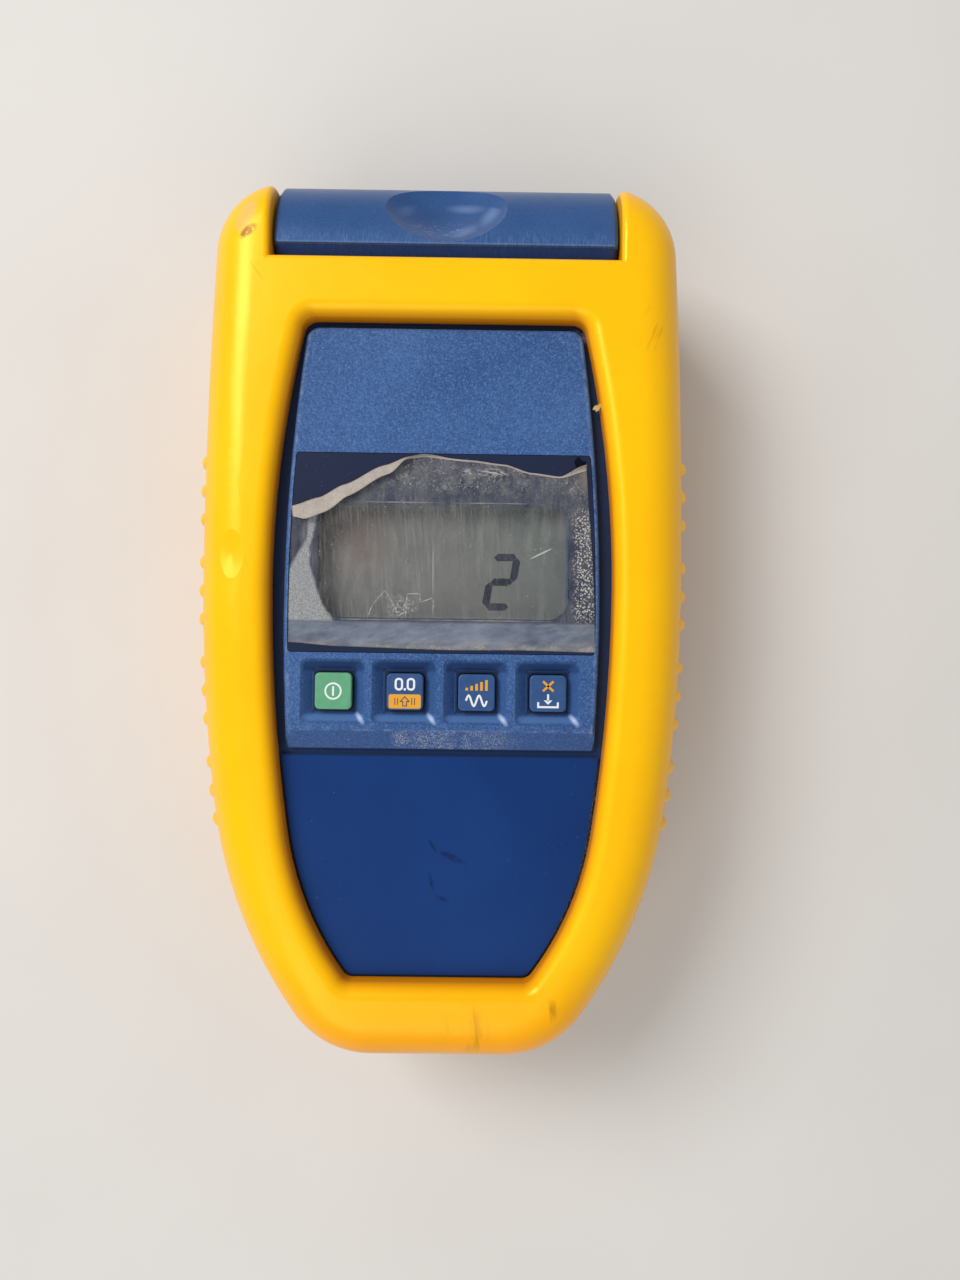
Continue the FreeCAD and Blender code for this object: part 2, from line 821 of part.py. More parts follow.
def make_lcd_frame():
    """Holder that seats the glass over the board, open in the middle."""
    frame = glass_box(frame_gap + frame_wall, board_top_z, glass_top_z)
    pocket = glass_box(frame_gap, glass_low_z, glass_top_z)
    through = glass_box(frame_gap, board_top_z, glass_top_z)
    half = screen_half_width + glass_margin_x - frame_ledge
    middle = box(-half, half, boot_bottom_y, boot_top_y, board_top_z, glass_top_z)
    return frame.cut([pocket, through.common(middle)])


def make_lcd_connectors():
    """Two conductive rubber strips between the board and the glass."""
    half = screen_half_width + glass_margin_x - frame_ledge - frame_gap
    low_y = screen_bottom_y - glass_margin_y
    high_y = screen_top_y + glass_margin_y
    strips = []
    for y0 in (low_y, high_y - strip_width):
        strips.append(box(-half, half, y0, y0 + strip_width, board_top_z, glass_low_z))
    return Part.makeCompound(strips)


def lens_plate(margin, z0, z1):
    """Display plate that follows the sides of the plateau, larger by a margin."""
    widest = Vector(lens_half_width + margin, plateau_middle_y, 0)
    arcs = [(plateau_side_radius - lens_side_margin + margin, None)]
    corner = lens_corner + margin
    return extrude(outline(widest, arcs, arcs, lens_top_y + margin, lens_bottom_y - margin,
                           corner, corner), z0, z1)


def make_display_lens():
    return lens_plate(0, lens_floor_z, plateau_z)


def make_display_film():
    """Torn protective film on the display plate, with an uneven top edge."""
    left = -lens_half_width - film_left_overhang
    right = lens_half_width + film_right_overhang
    corners = [(left, lens_bottom_y + film_foot_rise),
               (right, lens_bottom_y + film_foot_rise / 2),
               (right, lens_top_y - film_right_drop),
               (right - film_tear_step, lens_top_y - film_tear_step),
               (right / 2, lens_top_y - film_tear_step / 2),
               (-film_tear_step, lens_top_y),
               (left / 2, lens_top_y - film_tear_step),
               (left, lens_top_y - film_left_drop)]
    points = [Vector(x, y, 0) for x, y in corners]
    wire = Part.makePolygon(points + points[:1])
    film_z = plateau_z + film_lift
    return extrude(wire, film_z, film_z + film_thickness)


def make_button(x):
    """Square cap with a retaining flange and a stem that reaches its switch."""
    flange_top_z = wall_inner_z - flange_gap
    flange_low_z = flange_top_z - flange_thickness
    stem_low_z = switch_top_z + button_travel + button_rest_gap
    cap = centred_plate(x, button_row_y, button_side, button_side, flange_top_z, button_top_z,
                        button_corner)
    cap = cap.makeFillet(button_edge_roll, edges_at(cap, button_top_z))
    flange = centred_plate(x, button_row_y, flange_side, flange_side, flange_low_z, flange_top_z,
                           button_corner)
    stem = centred_plate(x, button_row_y, stem_side, stem_side, stem_low_z, flange_low_z,
                         button_corner)
    return cap.fuse([flange, stem])


def make_key_switches():
    """Four tact switches on the board."""
    switches = []
    for x in button_xs():
        case = centred_plate(x, button_row_y, switch_side, switch_side, board_top_z,
                             board_top_z + switch_height, button_corner)
        knob = cylinder_z(switch_button_radius, x, button_row_y, board_top_z + switch_height,
                          switch_top_z)
        switches.append(case.fuse(knob))
    return Part.makeCompound(switches)


def make_keypad_mat():
    """Silicone mat around the button stems, on legs that stand on the board."""
    xs = button_xs()
    mat = centred_plate(0, button_row_y, 2 * mat_half_x, 2 * mat_half_y, mat_bottom_z,
                        mat_bottom_z + mat_thickness, button_corner)
    legs = []
    for left, right in zip(xs, xs[1:]):
        for side in (-1, 1):
            y = button_row_y + side * (mat_half_y - 2 * mat_leg_radius)
            legs.append(cylinder_z(mat_leg_radius, (left + right) / 2, y, board_top_z,
                                   mat_bottom_z))
    hole_side = stem_side + 2 * mat_hole_gap
    holes = []
    for x in xs:
        holes.append(centred_plate(x, button_row_y, hole_side, hole_side, mat_bottom_z,
                                   mat_bottom_z + mat_thickness, button_corner))
    return mat.fuse(legs).cut(holes)


def make_front_label():
    """Smooth overlay on the pad below the plateau."""
    pad_z = skirt_z + pad_height
    return lower_area(pad_margin + label_margin, pad_z, pad_z + label_thickness)


def make_rear_label():
    return rounded_plate(-plate_half_width, plate_half_width, plate_bottom_y, plate_top_y,
                         back_z - plate_thickness, back_z, plate_corner)


def cover_point(y, z):
    return Vector(-cover_half_width, y, z)


def cover_arc(radius, centre_y, centre_z, start_angle, end_angle):
    """Arc in the side view of the cover, between two angles in degrees."""
    points = []
    for angle in (start_angle, (start_angle + end_angle) / 2, end_angle):
        turn = math.radians(angle)
        points.append(cover_point(centre_y + radius * math.cos(turn),
                                  centre_z + radius * math.sin(turn)))
    return Part.Arc(*points).toShape()


def cover_prism(corners_before, arcs, corners_after, x0, x1):
    """Solid across the cover whose side view is corners, then arcs, then corners."""
    edges = []
    previous = corners_after[-1]
    for corner in corners_before:
        edges.append(Part.makeLine(previous, corner))
        previous = corner
    for arc in arcs:
        start = arc.Vertexes[0].Point
        end = arc.Vertexes[-1].Point
        edges.append(Part.makeLine(previous, start))
        edges.append(arc)
        previous = end
    for corner in corners_after:
        edges.append(Part.makeLine(previous, corner))
        previous = corner
    face = Part.Face(Part.Wire(Part.__sortEdges__(edges)))
    face.translate(Vector(x0 + cover_half_width, 0, 0))
    return face.extrude(Vector(x1 - x0, 0, 0))


def cover_outside():
    """Full side view of the cover: lip, curved front, end wall and hinge barrel."""
    lip_top_z = cover_top_z - cover_lip_drop
    before = [cover_point(cover_lip_y, cover_cheek_low_z),
              cover_point(cover_lip_y, lip_top_z - cover_lip_slope),
              cover_point(curve_y, lip_top_z)]
    arcs = [cover_arc(curve_radius, curve_y, curve_z, 90, 0)]
    after = [cover_point(cover_end_y, hinge_z), cover_point(hinge_y, hinge_z)]
    prism = cover_prism(before, arcs, after, -cover_half_width, cover_half_width)
    barrel = cylinder_x(barrel_radius, -cover_half_width, cover_half_width, hinge_y, hinge_z)
    return prism.fuse(barrel).removeSplitter()


def cover_room():
    """Space inside the cover, open toward the housing."""
    half = cover_half_width - cover_wall
    inner_end_y = cover_end_y - cover_wall
    open_y = cover_lip_y - overcut
    low_z = hinge_z - barrel_radius - overcut
    lip_low_z = cover_top_z - cover_lip_drop - cover_lip_slope - cover_wall
    before = [cover_point(open_y, low_z), cover_point(open_y, lip_low_z)]
    arcs = [cover_arc(curve_radius - cover_wall, curve_y, curve_z, 90, 0),
            cover_arc(inner_end_y - hinge_y, hinge_y, hinge_z, 0, -90)]
    after = [cover_point(hinge_y, low_z)]
    return cover_prism(before, arcs, after, -half, half)


def scoop_ball(extra):
    """Ball that hollows the thumb scoop, larger by an amount."""
    radius = (scoop_half_width ** 2 + scoop_depth ** 2) / (2 * scoop_depth)
    reach = curve_radius + radius - scoop_depth
    turn = math.radians(scoop_angle)
    centre = Vector(0, curve_y + reach * math.cos(turn), curve_z + reach * math.sin(turn))
    return Part.makeSphere(radius + extra, centre, Vector(1, 0, 0))


def make_port_cover():
    """Flip cover: curved shell with end cheeks, hinge knuckles and a thumb scoop."""
    outside = cover_outside()
    ends = []
    for edge in outside.Edges:
        bounds = edge.BoundBox
        at_end = abs(abs(bounds.XMin) - cover_half_width) < same_place
        if bounds.XLength < same_place and at_end:
            ends.append(edge)
    outside = outside.makeChamfer(cover_edge_chamfer, ends)
    slots = []
    for x0 in (lug_outer_x - hinge_lug_width - hinge_gap, -lug_outer_x - hinge_gap):
        slots.append(box(x0, x0 + hinge_lug_width + 2 * hinge_gap, hinge_y - overcut,
                         cover_end_y + overcut, hinge_z - barrel_radius - overcut, hinge_z))
    bores = cylinder_x(pin_radius + pin_running_fit, -cover_half_width + pin_end_gap / 2,
                       cover_half_width - pin_end_gap / 2, hinge_y, hinge_z)
    room = cover_room().cut(scoop_ball(scoop_wall))
    return outside.cut(room).cut(scoop_ball(0)).cut(slots + [bores])


def make_cover_pins():
    """Two pins, pressed in the lugs, that the cover turns on."""
    pins = []
    inner_x = lug_outer_x - hinge_lug_width
    end_x = cover_half_width - pin_end_gap
    pins.append(cylinder_x(pin_radius, inner_x, end_x, hinge_y, hinge_z))
    pins.append(mirrored(pins[0]))
    return Part.makeCompound(pins)


def make_port_body():
    """Stepped metal port: thread through the wall, flange, nose and the bores on its axis."""
    thread = cylinder_y(port_thread_radius, port_inner_y, gasket_y)
    flange = cylinder_y(port_flange_radius, gasket_y, flange_y)
    nose = cylinder_y(port_nose_radius, flange_y, nose_end_y)
    nose_bore = cylinder_y(port_nose_bore, sleeve_y - adapter_ring_gap, nose_end_y)
    light_bore = cylinder_y(port_light_bore, port_inner_y, nose_end_y)
    can_room = cylinder_y(can_radius + can_fit, port_inner_y, port_inner_y + can_length + can_fit)
    return thread.fuse([flange, nose]).cut([nose_bore, light_bore, can_room])


def make_port_gasket():
    ring = cylinder_y(port_flange_radius, shell_top_y, gasket_y)
    return ring.cut(cylinder_y(port_thread_radius + port_hole_gap, shell_top_y, gasket_y))


def make_port_nut():
    """Hexagon nut inside the top wall."""
    end_y = shell_top_y - shell_wall
    corners = []
    for corner in range(nut_sides):
        turn = 2 * math.pi * corner / nut_sides
        corners.append(Vector(nut_radius * math.cos(turn), end_y - nut_thickness,
                              port_z + nut_radius * math.sin(turn)))
    face = Part.Face(Part.makePolygon(corners + corners[:1]))
    prism = face.extrude(Vector(0, nut_thickness, 0))
    bore = cylinder_y(port_thread_radius + port_hole_gap, end_y - nut_thickness, end_y)
    return prism.cut(bore)


def make_photodiode():
    """Detector can with a header and three leads bent up to the board."""
    can = cylinder_y(can_radius, port_inner_y, port_inner_y + can_length)
    header = cylinder_y(can_radius + can_header_step, port_inner_y - can_header_length,
                        port_inner_y)
    leads = []
    for i in (-1, 0, 1):
        x = i * lead_spread
        run = cylinder_y(lead_radius, lead_bend_y, port_inner_y - can_header_length, x)
        elbow = Part.makeSphere(lead_radius, Vector(x, lead_bend_y, port_z))
        rise = cylinder_z(lead_radius, x, lead_bend_y, port_z, board_bottom_z)
        leads.extend([run, elbow, rise])
    return can.fuse([header] + leads)


def make_fibre_adapter():
    """Fluted cap that turns on the port nose and carries the ferrule sleeve."""
    cap = cylinder_y(adapter_radius, flange_y + adapter_ring_gap, adapter_end_y)
    room = cylinder_y(port_nose_radius + adapter_fit, flange_y, nose_end_y + adapter_ring_gap)
    sleeve = cylinder_y(adapter_sleeve_radius, sleeve_y, adapter_end_y)
    bore = cylinder_y(ferrule_bore, sleeve_y, adapter_end_y)
    flutes = []
    for flute in range(adapter_flute_count):
        turn = 2 * math.pi * flute / adapter_flute_count
        flutes.append(cylinder_y(adapter_flute_radius, flange_y, adapter_end_y,
                                 adapter_radius * math.cos(turn),
                                 port_z + adapter_radius * math.sin(turn)))
    return cap.cut([room] + flutes).fuse(sleeve).cut(bore)


def screw(x, y, head_low_z, head_radius, head_height, shank_radius, end_z):
    """Cross-head screw that points up, with its head at the low end."""
    head = cylinder_z(head_radius, x, y, head_low_z, head_low_z + head_height)
    shank = cylinder_z(shank_radius, x, y, head_low_z + head_height, end_z)
    reach = head_radius * slot_reach
    half = slot_width / 2
    across = box(x - reach, x + reach, y - half, y + half, head_low_z, head_low_z + slot_depth)
    along = box(x - half, x + half, y - reach, y + reach, head_low_z, head_low_z + slot_depth)
    return head.fuse(shank).cut([across, along])


def make_case_screws():
    screws = []
    for x, y in case_screw_places():
        screws.append(screw(x, y, back_z + screw_gap, case_head_radius, case_head_height,
                            case_screw_radius, case_screw_end_z))
    return Part.makeCompound(screws)


def make_board_screws():
    screws = []
    for x, y in board_screw_places():
        screws.append(screw(x, y, board_bottom_z - board_head_height, board_head_radius,
                            board_head_height, board_screw_radius,
                            board_top_z + board_screw_reach - 2 * screw_gap))
    return Part.makeCompound(screws)


SINGLE_PIECES = {
    "boot": make_boot,
    "front_shell": make_front_shell,
    "rear_shell": make_rear_shell,
    "battery_door": make_battery_door,
    "battery": make_battery,
    "contact_block": make_contact_block,
    "battery_contacts": make_battery_contacts,
    "main_board": make_main_board,
    "controller_chip": make_controller_chip,
    "amplifier_chip": make_amplifier_chip,
    "lcd_glass": make_lcd_glass,
    "lcd_frame": make_lcd_frame,
    "lcd_connectors": make_lcd_connectors,
    "display_lens": make_display_lens,
    "display_film": make_display_film,
    "key_switches": make_key_switches,
    "keypad_mat": make_keypad_mat,
    "front_label": make_front_label,
    "rear_label": make_rear_label,
    "port_cover": make_port_cover,
    "cover_pins": make_cover_pins,
    "port_body": make_port_body,
    "port_gasket": make_port_gasket,
    "port_nut": make_port_nut,
    "photodiode": make_photodiode,
    "fibre_adapter": make_fibre_adapter,
    "case_screws": make_case_screws,
    "board_screws": make_board_screws,
}
BUTTONS = ("power_button", "reference_button", "wavelength_button", "save_button")

os.makedirs("parts", exist_ok=True)
for name, make in SINGLE_PIECES.items():
    make().exportStep(f"parts/{name}.step")
for name, x in zip(BUTTONS, button_xs()):
    make_button(x).exportStep(f"parts/{name}.step")
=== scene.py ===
"""Looks of the handheld optical power meter.

Finishes, printed marks, torn film, floor, lights and camera around the frame of the CAD nodes.
"""

import math

import bmesh
import bpy
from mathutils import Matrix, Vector


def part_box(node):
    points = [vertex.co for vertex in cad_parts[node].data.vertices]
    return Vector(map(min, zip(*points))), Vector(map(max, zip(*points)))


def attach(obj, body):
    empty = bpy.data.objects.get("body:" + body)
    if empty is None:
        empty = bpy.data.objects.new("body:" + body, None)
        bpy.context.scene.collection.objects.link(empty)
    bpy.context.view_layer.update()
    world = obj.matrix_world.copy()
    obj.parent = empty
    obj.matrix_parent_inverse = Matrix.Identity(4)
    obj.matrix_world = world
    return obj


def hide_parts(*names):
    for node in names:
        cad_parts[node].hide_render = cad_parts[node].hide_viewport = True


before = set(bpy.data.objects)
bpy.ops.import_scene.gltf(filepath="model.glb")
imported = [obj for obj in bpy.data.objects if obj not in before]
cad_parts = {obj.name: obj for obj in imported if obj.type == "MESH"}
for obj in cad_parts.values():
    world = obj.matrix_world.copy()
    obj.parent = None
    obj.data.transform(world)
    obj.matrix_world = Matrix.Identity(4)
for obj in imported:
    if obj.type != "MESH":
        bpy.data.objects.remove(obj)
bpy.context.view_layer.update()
MM = 0.001

# colour sockets of the Mix node, which has one set for each kind of data
COLOUR_A, COLOUR_B, COLOUR_OUT = 6, 7, 2

SMOOTH_LIMIT = 32.0       # degrees between faces that are shaded as one surface
FLOOR_REACH = 3.0         # half width of the floor, in metres
WORLD_STRENGTH = 0.44
LAMP_AIM = (0, 0, 0.02)   # point that the lamps look at, in metres

# places and sizes that the wear follows, in metres
FILM_Z = 0.0382           # height of the film's surface
COVER_Z = 0.0385          # height of the cover at its thumb scoop
LIP_LENGTH = 0.00205      # length of the cover's flat front lip
PLATEAU_ENDS = (-0.0222, 0.0461)    # ends of the raised plateau along Y
SIDE_BOW = 0.652          # twice the radius of the plateau's bowed sides
LEDGE_Y = -0.0192         # crease above the plateau's sloped ledge
DISH_HALF = 0.00528       # half width of a key's dish

WORN_PALE = (168, 184, 212)         # display colour of blue plastic where it is rubbed


def box_of(node):
    """Lowest and highest corner of a CAD node, in metres."""
    low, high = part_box(node)
    return Vector(low), Vector(high)


def paint(red, green, blue):
    """Linear colour from display values of 0 to 255."""
    linear = []
    for value in (red, green, blue):
        share = value / 255
        if share <= 0.04045:
            linear.append(share / 12.92)
        else:
            linear.append(((share + 0.055) / 1.055) ** 2.4)
    return (*linear, 1.0)


class Finish:
    """One material and the node calls that the finishes share."""

    def __init__(self, name):
        self.material = bpy.data.materials.new(name)
        self.material.use_nodes = True
        self.tree = self.material.node_tree
        self.tree.nodes.clear()
        self.shader = self.node("ShaderNodeBsdfPrincipled")
        output = self.node("ShaderNodeOutputMaterial")
        self.tree.links.new(self.shader.outputs["BSDF"], output.inputs["Surface"])
        self.place = self.node("ShaderNodeTexCoord").outputs["Object"]
        split = self.node("ShaderNodeSeparateXYZ")
        self.feed(split.inputs[0], self.place)
        self.axes = split.outputs

    def node(self, kind, **settings):
        made = self.tree.nodes.new(kind)
        for key, value in settings.items():
            setattr(made, key, value)
        return made

    def feed(self, socket, value):
        """Link a socket to another, or set its value."""
        if isinstance(value, bpy.types.NodeSocket):
            self.tree.links.new(value, socket)
        else:
            socket.default_value = value

    def set(self, **values):
        """Set the shader's own sockets; underscores stand for spaces."""
        for key, value in values.items():
            self.feed(self.shader.inputs[key.replace("_", " ")], value)
        return self

    def math(self, operation, first, second=0.0):
        made = self.node("ShaderNodeMath", operation=operation)
        for socket, value in zip(made.inputs, (first, second)):
            self.feed(socket, value)
        return made.outputs[0]

    def add(self, first, second):
        return self.math("ADD", first, second)

    def times(self, first, second):
        return self.math("MULTIPLY", first, second)

    def most(self, first, second):
        return self.math("MAXIMUM", first, second)

    def rest(self, share):
        """What a share leaves of 1."""
        return self.math("SUBTRACT", 1.0, share)

    def band(self, value, low, high, soft=0.0001):
        """1 where a value lies between two limits, with soft ends."""
        rise = self.ramp(value, low - soft, low + soft)
        fall = self.ramp(value, high + soft, high - soft)
        return self.times(rise, fall)

    def ramp(self, value, low, high, out_low=0.0, out_high=1.0):
        """Straight ramp of a value, clamped."""
        made = self.node("ShaderNodeMapRange")
        for socket, number in zip(made.inputs, (value, low, high, out_low, out_high)):
            self.feed(socket, number)
        return made.outputs[0]

    def facing(self):
        """How far up the surface looks, 1 flat and 0 upright."""
        split = self.node("ShaderNodeSeparateXYZ")
        self.feed(split.inputs[0], self.node("ShaderNodeTexCoord").outputs["Normal"])
        return split.outputs["Z"]

    def moved(self, turn, scale, offset=(0, 0, 0)):
        """Object coordinates, moved, then turned about Z, then scaled."""
        shift = self.node("ShaderNodeVectorMath", operation="SUBTRACT")
        self.feed(shift.inputs[0], self.place)
        shift.inputs[1].default_value = offset
        turned = self.node("ShaderNodeVectorRotate", rotation_type="Z_AXIS")
        self.feed(turned.inputs["Vector"], shift.outputs[0])
        turned.inputs["Angle"].default_value = -turn
        scaled = self.node("ShaderNodeVectorMath", operation="MULTIPLY")
        self.feed(scaled.inputs[0], turned.outputs[0])
        scaled.inputs[1].default_value = scale
        return scaled.outputs[0]

    def noise(self, scale, detail, rough, vector=None):
        made = self.node("ShaderNodeTexNoise")
        self.feed(made.inputs["Vector"], vector or self.place)
        made.inputs["Scale"].default_value = scale
        made.inputs["Detail"].default_value = detail
        made.inputs["Roughness"].default_value = rough
        return made.outputs["Fac"]

    def grain(self, scale, detail, rough, *limits):
        """Noise as a ramp between limits."""
        return self.ramp(self.noise(scale, detail, rough), *limits)

    def cells(self, scale):
        """Distance to the nearest of evenly scattered points."""
        made = self.node("ShaderNodeTexVoronoi")
        self.feed(made.inputs["Vector"], self.place)
        made.inputs["Scale"].default_value = scale
        return made.outputs["Distance"]

    def blend(self, factor, first, second):
        """From the first colour at 0 to the second at 1."""
        made = self.node("ShaderNodeMix", data_type="RGBA")
        self.feed(made.inputs["Factor"], factor)
        self.feed(made.inputs[COLOUR_A], first)
        self.feed(made.inputs[COLOUR_B], second)
        return made.outputs[COLOUR_OUT]

    def coat(self, base, mask, share, colour):
        """Lay a share of a display colour on a base where a mask is 1."""
        return self.blend(self.times(mask, share), base, paint(*colour))

    def coats(self, base, *layers):
        """Lay coats one on another, each with its mask, share and colour."""
        for layer in layers:
            base = self.coat(base, *layer)
        return base

    def bump(self, height, distance, strength=1.0, under=None):
        made = self.node("ShaderNodeBump")
        self.feed(made.inputs["Height"], height)
        made.inputs["Distance"].default_value = distance
        self.feed(made.inputs["Strength"], strength)
        if under is not None:
            self.feed(made.inputs["Normal"], under)
        return made.outputs[0]

    def spot(self, centre, radius, soft, squeeze, turn=0.0):
        """1 inside an ellipsoid, fading at its edge."""
        vector = self.moved(turn, squeeze, centre)
        length = self.node("ShaderNodeVectorMath", operation="LENGTH")
        self.feed(length.inputs[0], vector)
        return self.ramp(length.outputs["Value"], radius, radius * (1 - soft))


# Mesh helpers


def put(name, data):
    """New object in the scene."""
    thing = bpy.data.objects.new(name, data)
    bpy.context.scene.collection.objects.link(thing)
    return thing


def add_piece(name, mesh, body, material, smooth=False):
    """Put a finished mesh in the scene as a piece that rides on a body."""
    piece = put(name, mesh)
    mesh.materials.clear()
    mesh.materials.append(material)
    for face in mesh.polygons:
        face.use_smooth = smooth
    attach(piece, body)
    return piece


def mesh_of(name, builder):
    """New mesh filled by a function that is given an empty bmesh."""
    work = bmesh.new()
    builder(work)
    bmesh.ops.recalc_face_normals(work, faces=work.faces)
    mesh = bpy.data.meshes.new(name)
    work.to_mesh(mesh)
    work.free()
    return mesh


def raise_outline(work, points, low, high):
    """Closed prism over a flat outline."""
    bottom = [work.verts.new((x, y, low)) for x, y in points]
    top = [work.verts.new((x, y, high)) for x, y in points]
    work.faces.new(bottom)
    work.faces.new(top)
    count = len(points)
    for i in range(count):
        j = (i + 1) % count
        work.faces.new((bottom[i], bottom[j], top[j], top[i]))


def raise_ring(work, inner, outer, low, high):
    """Closed ring between two outlines of the same number of points."""
    loops = []
    for points, z in ((inner, low), (outer, low), (outer, high), (inner, high)):
        loops.append([work.verts.new((x, y, z)) for x, y in points])
    count = len(inner)
    for a, b in zip(loops, loops[1:] + loops[:1]):
        for i in range(count):
            j = (i + 1) % count
            work.faces.new((a[i], a[j], b[j], b[i]))


def rounded(cx, cy, half_x, half_y, corner, steps=8):
    """Outline of a rounded rectangle."""
    points = []
    for quarter, (sx, sy) in enumerate(((1, 1), (-1, 1), (-1, -1), (1, -1))):
        for step in range(steps + 1):
            turn = (quarter + step / steps) * math.pi / 2
            points.append((cx + sx * (half_x - corner) + corner * math.cos(turn),
                           cy + sy * (half_y - corner) + corner * math.sin(turn)))
    return points


def circle(cx, cy, radius, steps=48):
    """Outline of a circle."""
    return [(cx + radius * math.cos(2 * math.pi * i / steps),
             cy + radius * math.sin(2 * math.pi * i / steps)) for i in range(steps)]


def stroke(work, points, width, low, high, closed=False):
    """Ribbon of a width along a line of points, with mitred corners."""
    count = len(points)
    left, right = [], []
    for i, point in enumerate(points):
        here = Vector(point)
        before = Vector(points[i - 1]) if closed or i > 0 else None
        after = Vector(points[(i + 1) % count]) if closed or i < count - 1 else None
        ways = []
        if before is not None:
            ways.append((here - before).normalized())
        if after is not None:
            ways.append((after - here).normalized())
        sides = [Vector((-way.y, way.x)) for way in ways]
        side = sum(sides, Vector((0, 0))).normalized()
        reach = width / 2 / max(side.dot(sides[0]), 0.4)
        left.append(tuple(here + side * reach))
        right.append(tuple(here - side * reach))
    if closed:
        raise_ring(work, left, right, low, high)
    else:
        raise_outline(work, left + right[::-1], low, high)


# Finishes


def boot_painted_shade(f, base):
    """Painted shade: deeper orange in the lip around the display, low on the toe and down the
    sides.
    """
    x, y, z = f.axes
    inward = f.add(f.math("ABSOLUTE", x), f.times(f.math("POWER", f.add(y, -0.004), 2.0), 2.2))
    # painted shade where the lip rolls into the opening, deeper lower down
    lip = f.times(f.ramp(inward, 0.0318, 0.0300), f.band(y, -0.0645, 0.0520, 0.0006))
    lip = f.times(lip, f.ramp(z, 0.0407, 0.0385))
    deep = f.times(lip, f.ramp(z, 0.0392, 0.0372))
    # painted shade low on the toe's rounding
    toe = f.times(f.ramp(y, -0.055, -0.071), f.ramp(z, 0.014, 0.037))
    # painted shade, more orange where the surface turns away from the top
    turned = f.ramp(f.facing(), 0.90, 0.25)
    return f.coats(base, (lip, 0.9, (250, 158, 2)), (deep, 0.7, (232, 116, 2)),
                   (toe, 0.8, (255, 160, 0)), (turned, 0.45, (255, 168, 0)))


def boot_wear(f, base):
    """Smears across the toe, a skinned patch and a nick on the left ear, scratches and rubs."""
    # dark smears, rubbed along the toe's length
    smear_place = f.moved(0.15, (1.0, 0.13, 0.2), (0.0045, -0.0675, 0.038))
    strands = f.noise(800, 3, 0.65, smear_place)
    smear = f.times(f.ramp(strands, 0.50, 0.66),
                    f.spot((0.0048, -0.0668, 0.039), 0.0052, 0.7, (1.25, 0.95, 0.4), 0.15))
    right = f.times(f.ramp(strands, 0.50, 0.62),
                    f.spot((0.0180, -0.0636, 0.039), 0.0026, 0.6, (1.3, 1.0, 0.4), -0.3))
    base = f.coat(base, f.most(smear, right), 0.55, (146, 98, 6))
    # skinned patch and its dark nick
    patch = f.spot((-0.0321, 0.0634, 0.0375), 0.0027, 0.25, (1.6, 0.8, 0.3), -0.45)
    base = f.coat(base, patch, 0.85, (253, 184, 98))
    nick = f.spot((-0.0316, 0.0607, 0.0385), 0.0017, 0.35, (0.8, 1.7, 0.3), 0.65)
    base = f.coat(base, nick, f.grain(1500, 1, 0.5, 0.20, 0.40), (128, 50, 6))
    # long scratch and rub marks at the top left, a few on the right
    line = f.spot((-0.0302, 0.0543, 0.0400), 0.0023, 0.2, (15.0, 1.0, 0.3), 0.64)
    cross = f.spot((-0.0292, 0.0567, 0.0400), 0.0009, 0.3, (0.8, 9.0, 0.3), -0.5)
    rub_place = f.moved(-0.35, (1.0, 0.10, 0.3), (-0.0325, 0.0530, 0.04))
    rubs = f.times(f.ramp(f.noise(1100, 2, 0.6, rub_place), 0.57, 0.66),
                   f.spot((-0.0312, 0.0565, 0.0395), 0.0022, 0.6, (1, 1, 0.3)))
    right_rubs = f.times(f.ramp(f.noise(1000, 2, 0.6, rub_place), 0.60, 0.68),
                         f.spot((0.0345, 0.0440, 0.037), 0.0065, 0.6, (1.6, 0.7, 0.3)))
    marks = f.most(f.most(line, cross), f.most(rubs, right_rubs))
    return f.coat(base, marks, 0.30, (190, 116, 4))


def boot_finish():
    """Yellow moulded rubber: satin, faintly mottled, rubbed, scratched and stained, with painted
    shade on its lip, toe and sides.
    """
    f = Finish("boot_rubber")
    base = f.blend(f.grain(55, 3, 0.55, 0.35, 0.7), paint(255, 193, 1), paint(254, 187, 1))
    grime = f.times(f.grain(38, 4, 0.65, 0.56, 0.78), f.grain(420, 2, 0.6, 0.3, 0.75))
    base = f.coat(base, grime, 0.16, (232, 150, 8))
    base = boot_wear(f, boot_painted_shade(f, base))
    height = f.add(f.times(f.noise(1500, 2, 0.6), 0.3), f.times(f.noise(160, 3, 0.5), 0.6))
    dent = f.spot((-0.0336, 0.0090, 0.0400), 0.0020, 0.9, (1, 0.5, 0.5))
    dented = f.bump(f.times(dent, -1.0), 0.0005)
    return f.set(Base_Color=base, Roughness=f.grain(90, 2, 0.5, 0.1, 0.9, 0.24, 0.38),
                 Normal=f.bump(height, 0.00005, 0.7, dented), Specular_IOR_Level=0.8,
                 Specular_Tint=paint(255, 228, 122)).material


def moulded(name, colour, light, grain=0.5, worn=None, rough=(0.42, 0.55)):
    """Spark-textured plastic in one colour, with lighter specks in the grain, and any wear and
    painted light laid on by the given function.
    """
    f = Finish(name)
    colour, light = paint(*colour), paint(*light)
    spark = f.noise(3300, 3, 0.7)
    broad = f.noise(70, 3, 0.5)
    base = f.blend(f.ramp(broad, 0.3, 0.75, 0.0, 0.3), colour, light)
    base = f.blend(f.times(f.ramp(spark, 0.52, 0.66), grain), base, light)
    base = f.coat(base, f.ramp(spark, 0.47, 0.34), grain * 0.8, (34, 54, 96))
    if worn is not None:
        base = worn(f, base)
    height = f.add(f.times(spark, 0.8), f.times(f.noise(900, 2, 0.5), 0.4))
    f.set(Base_Color=base, Normal=f.bump(height, 0.00006, grain), Specular_IOR_Level=0.3,
          Specular_Tint=paint(190, 214, 255),
          Roughness=f.grain(140, 2, 0.5, 0.3, 0.7, *rough))
    return f.material


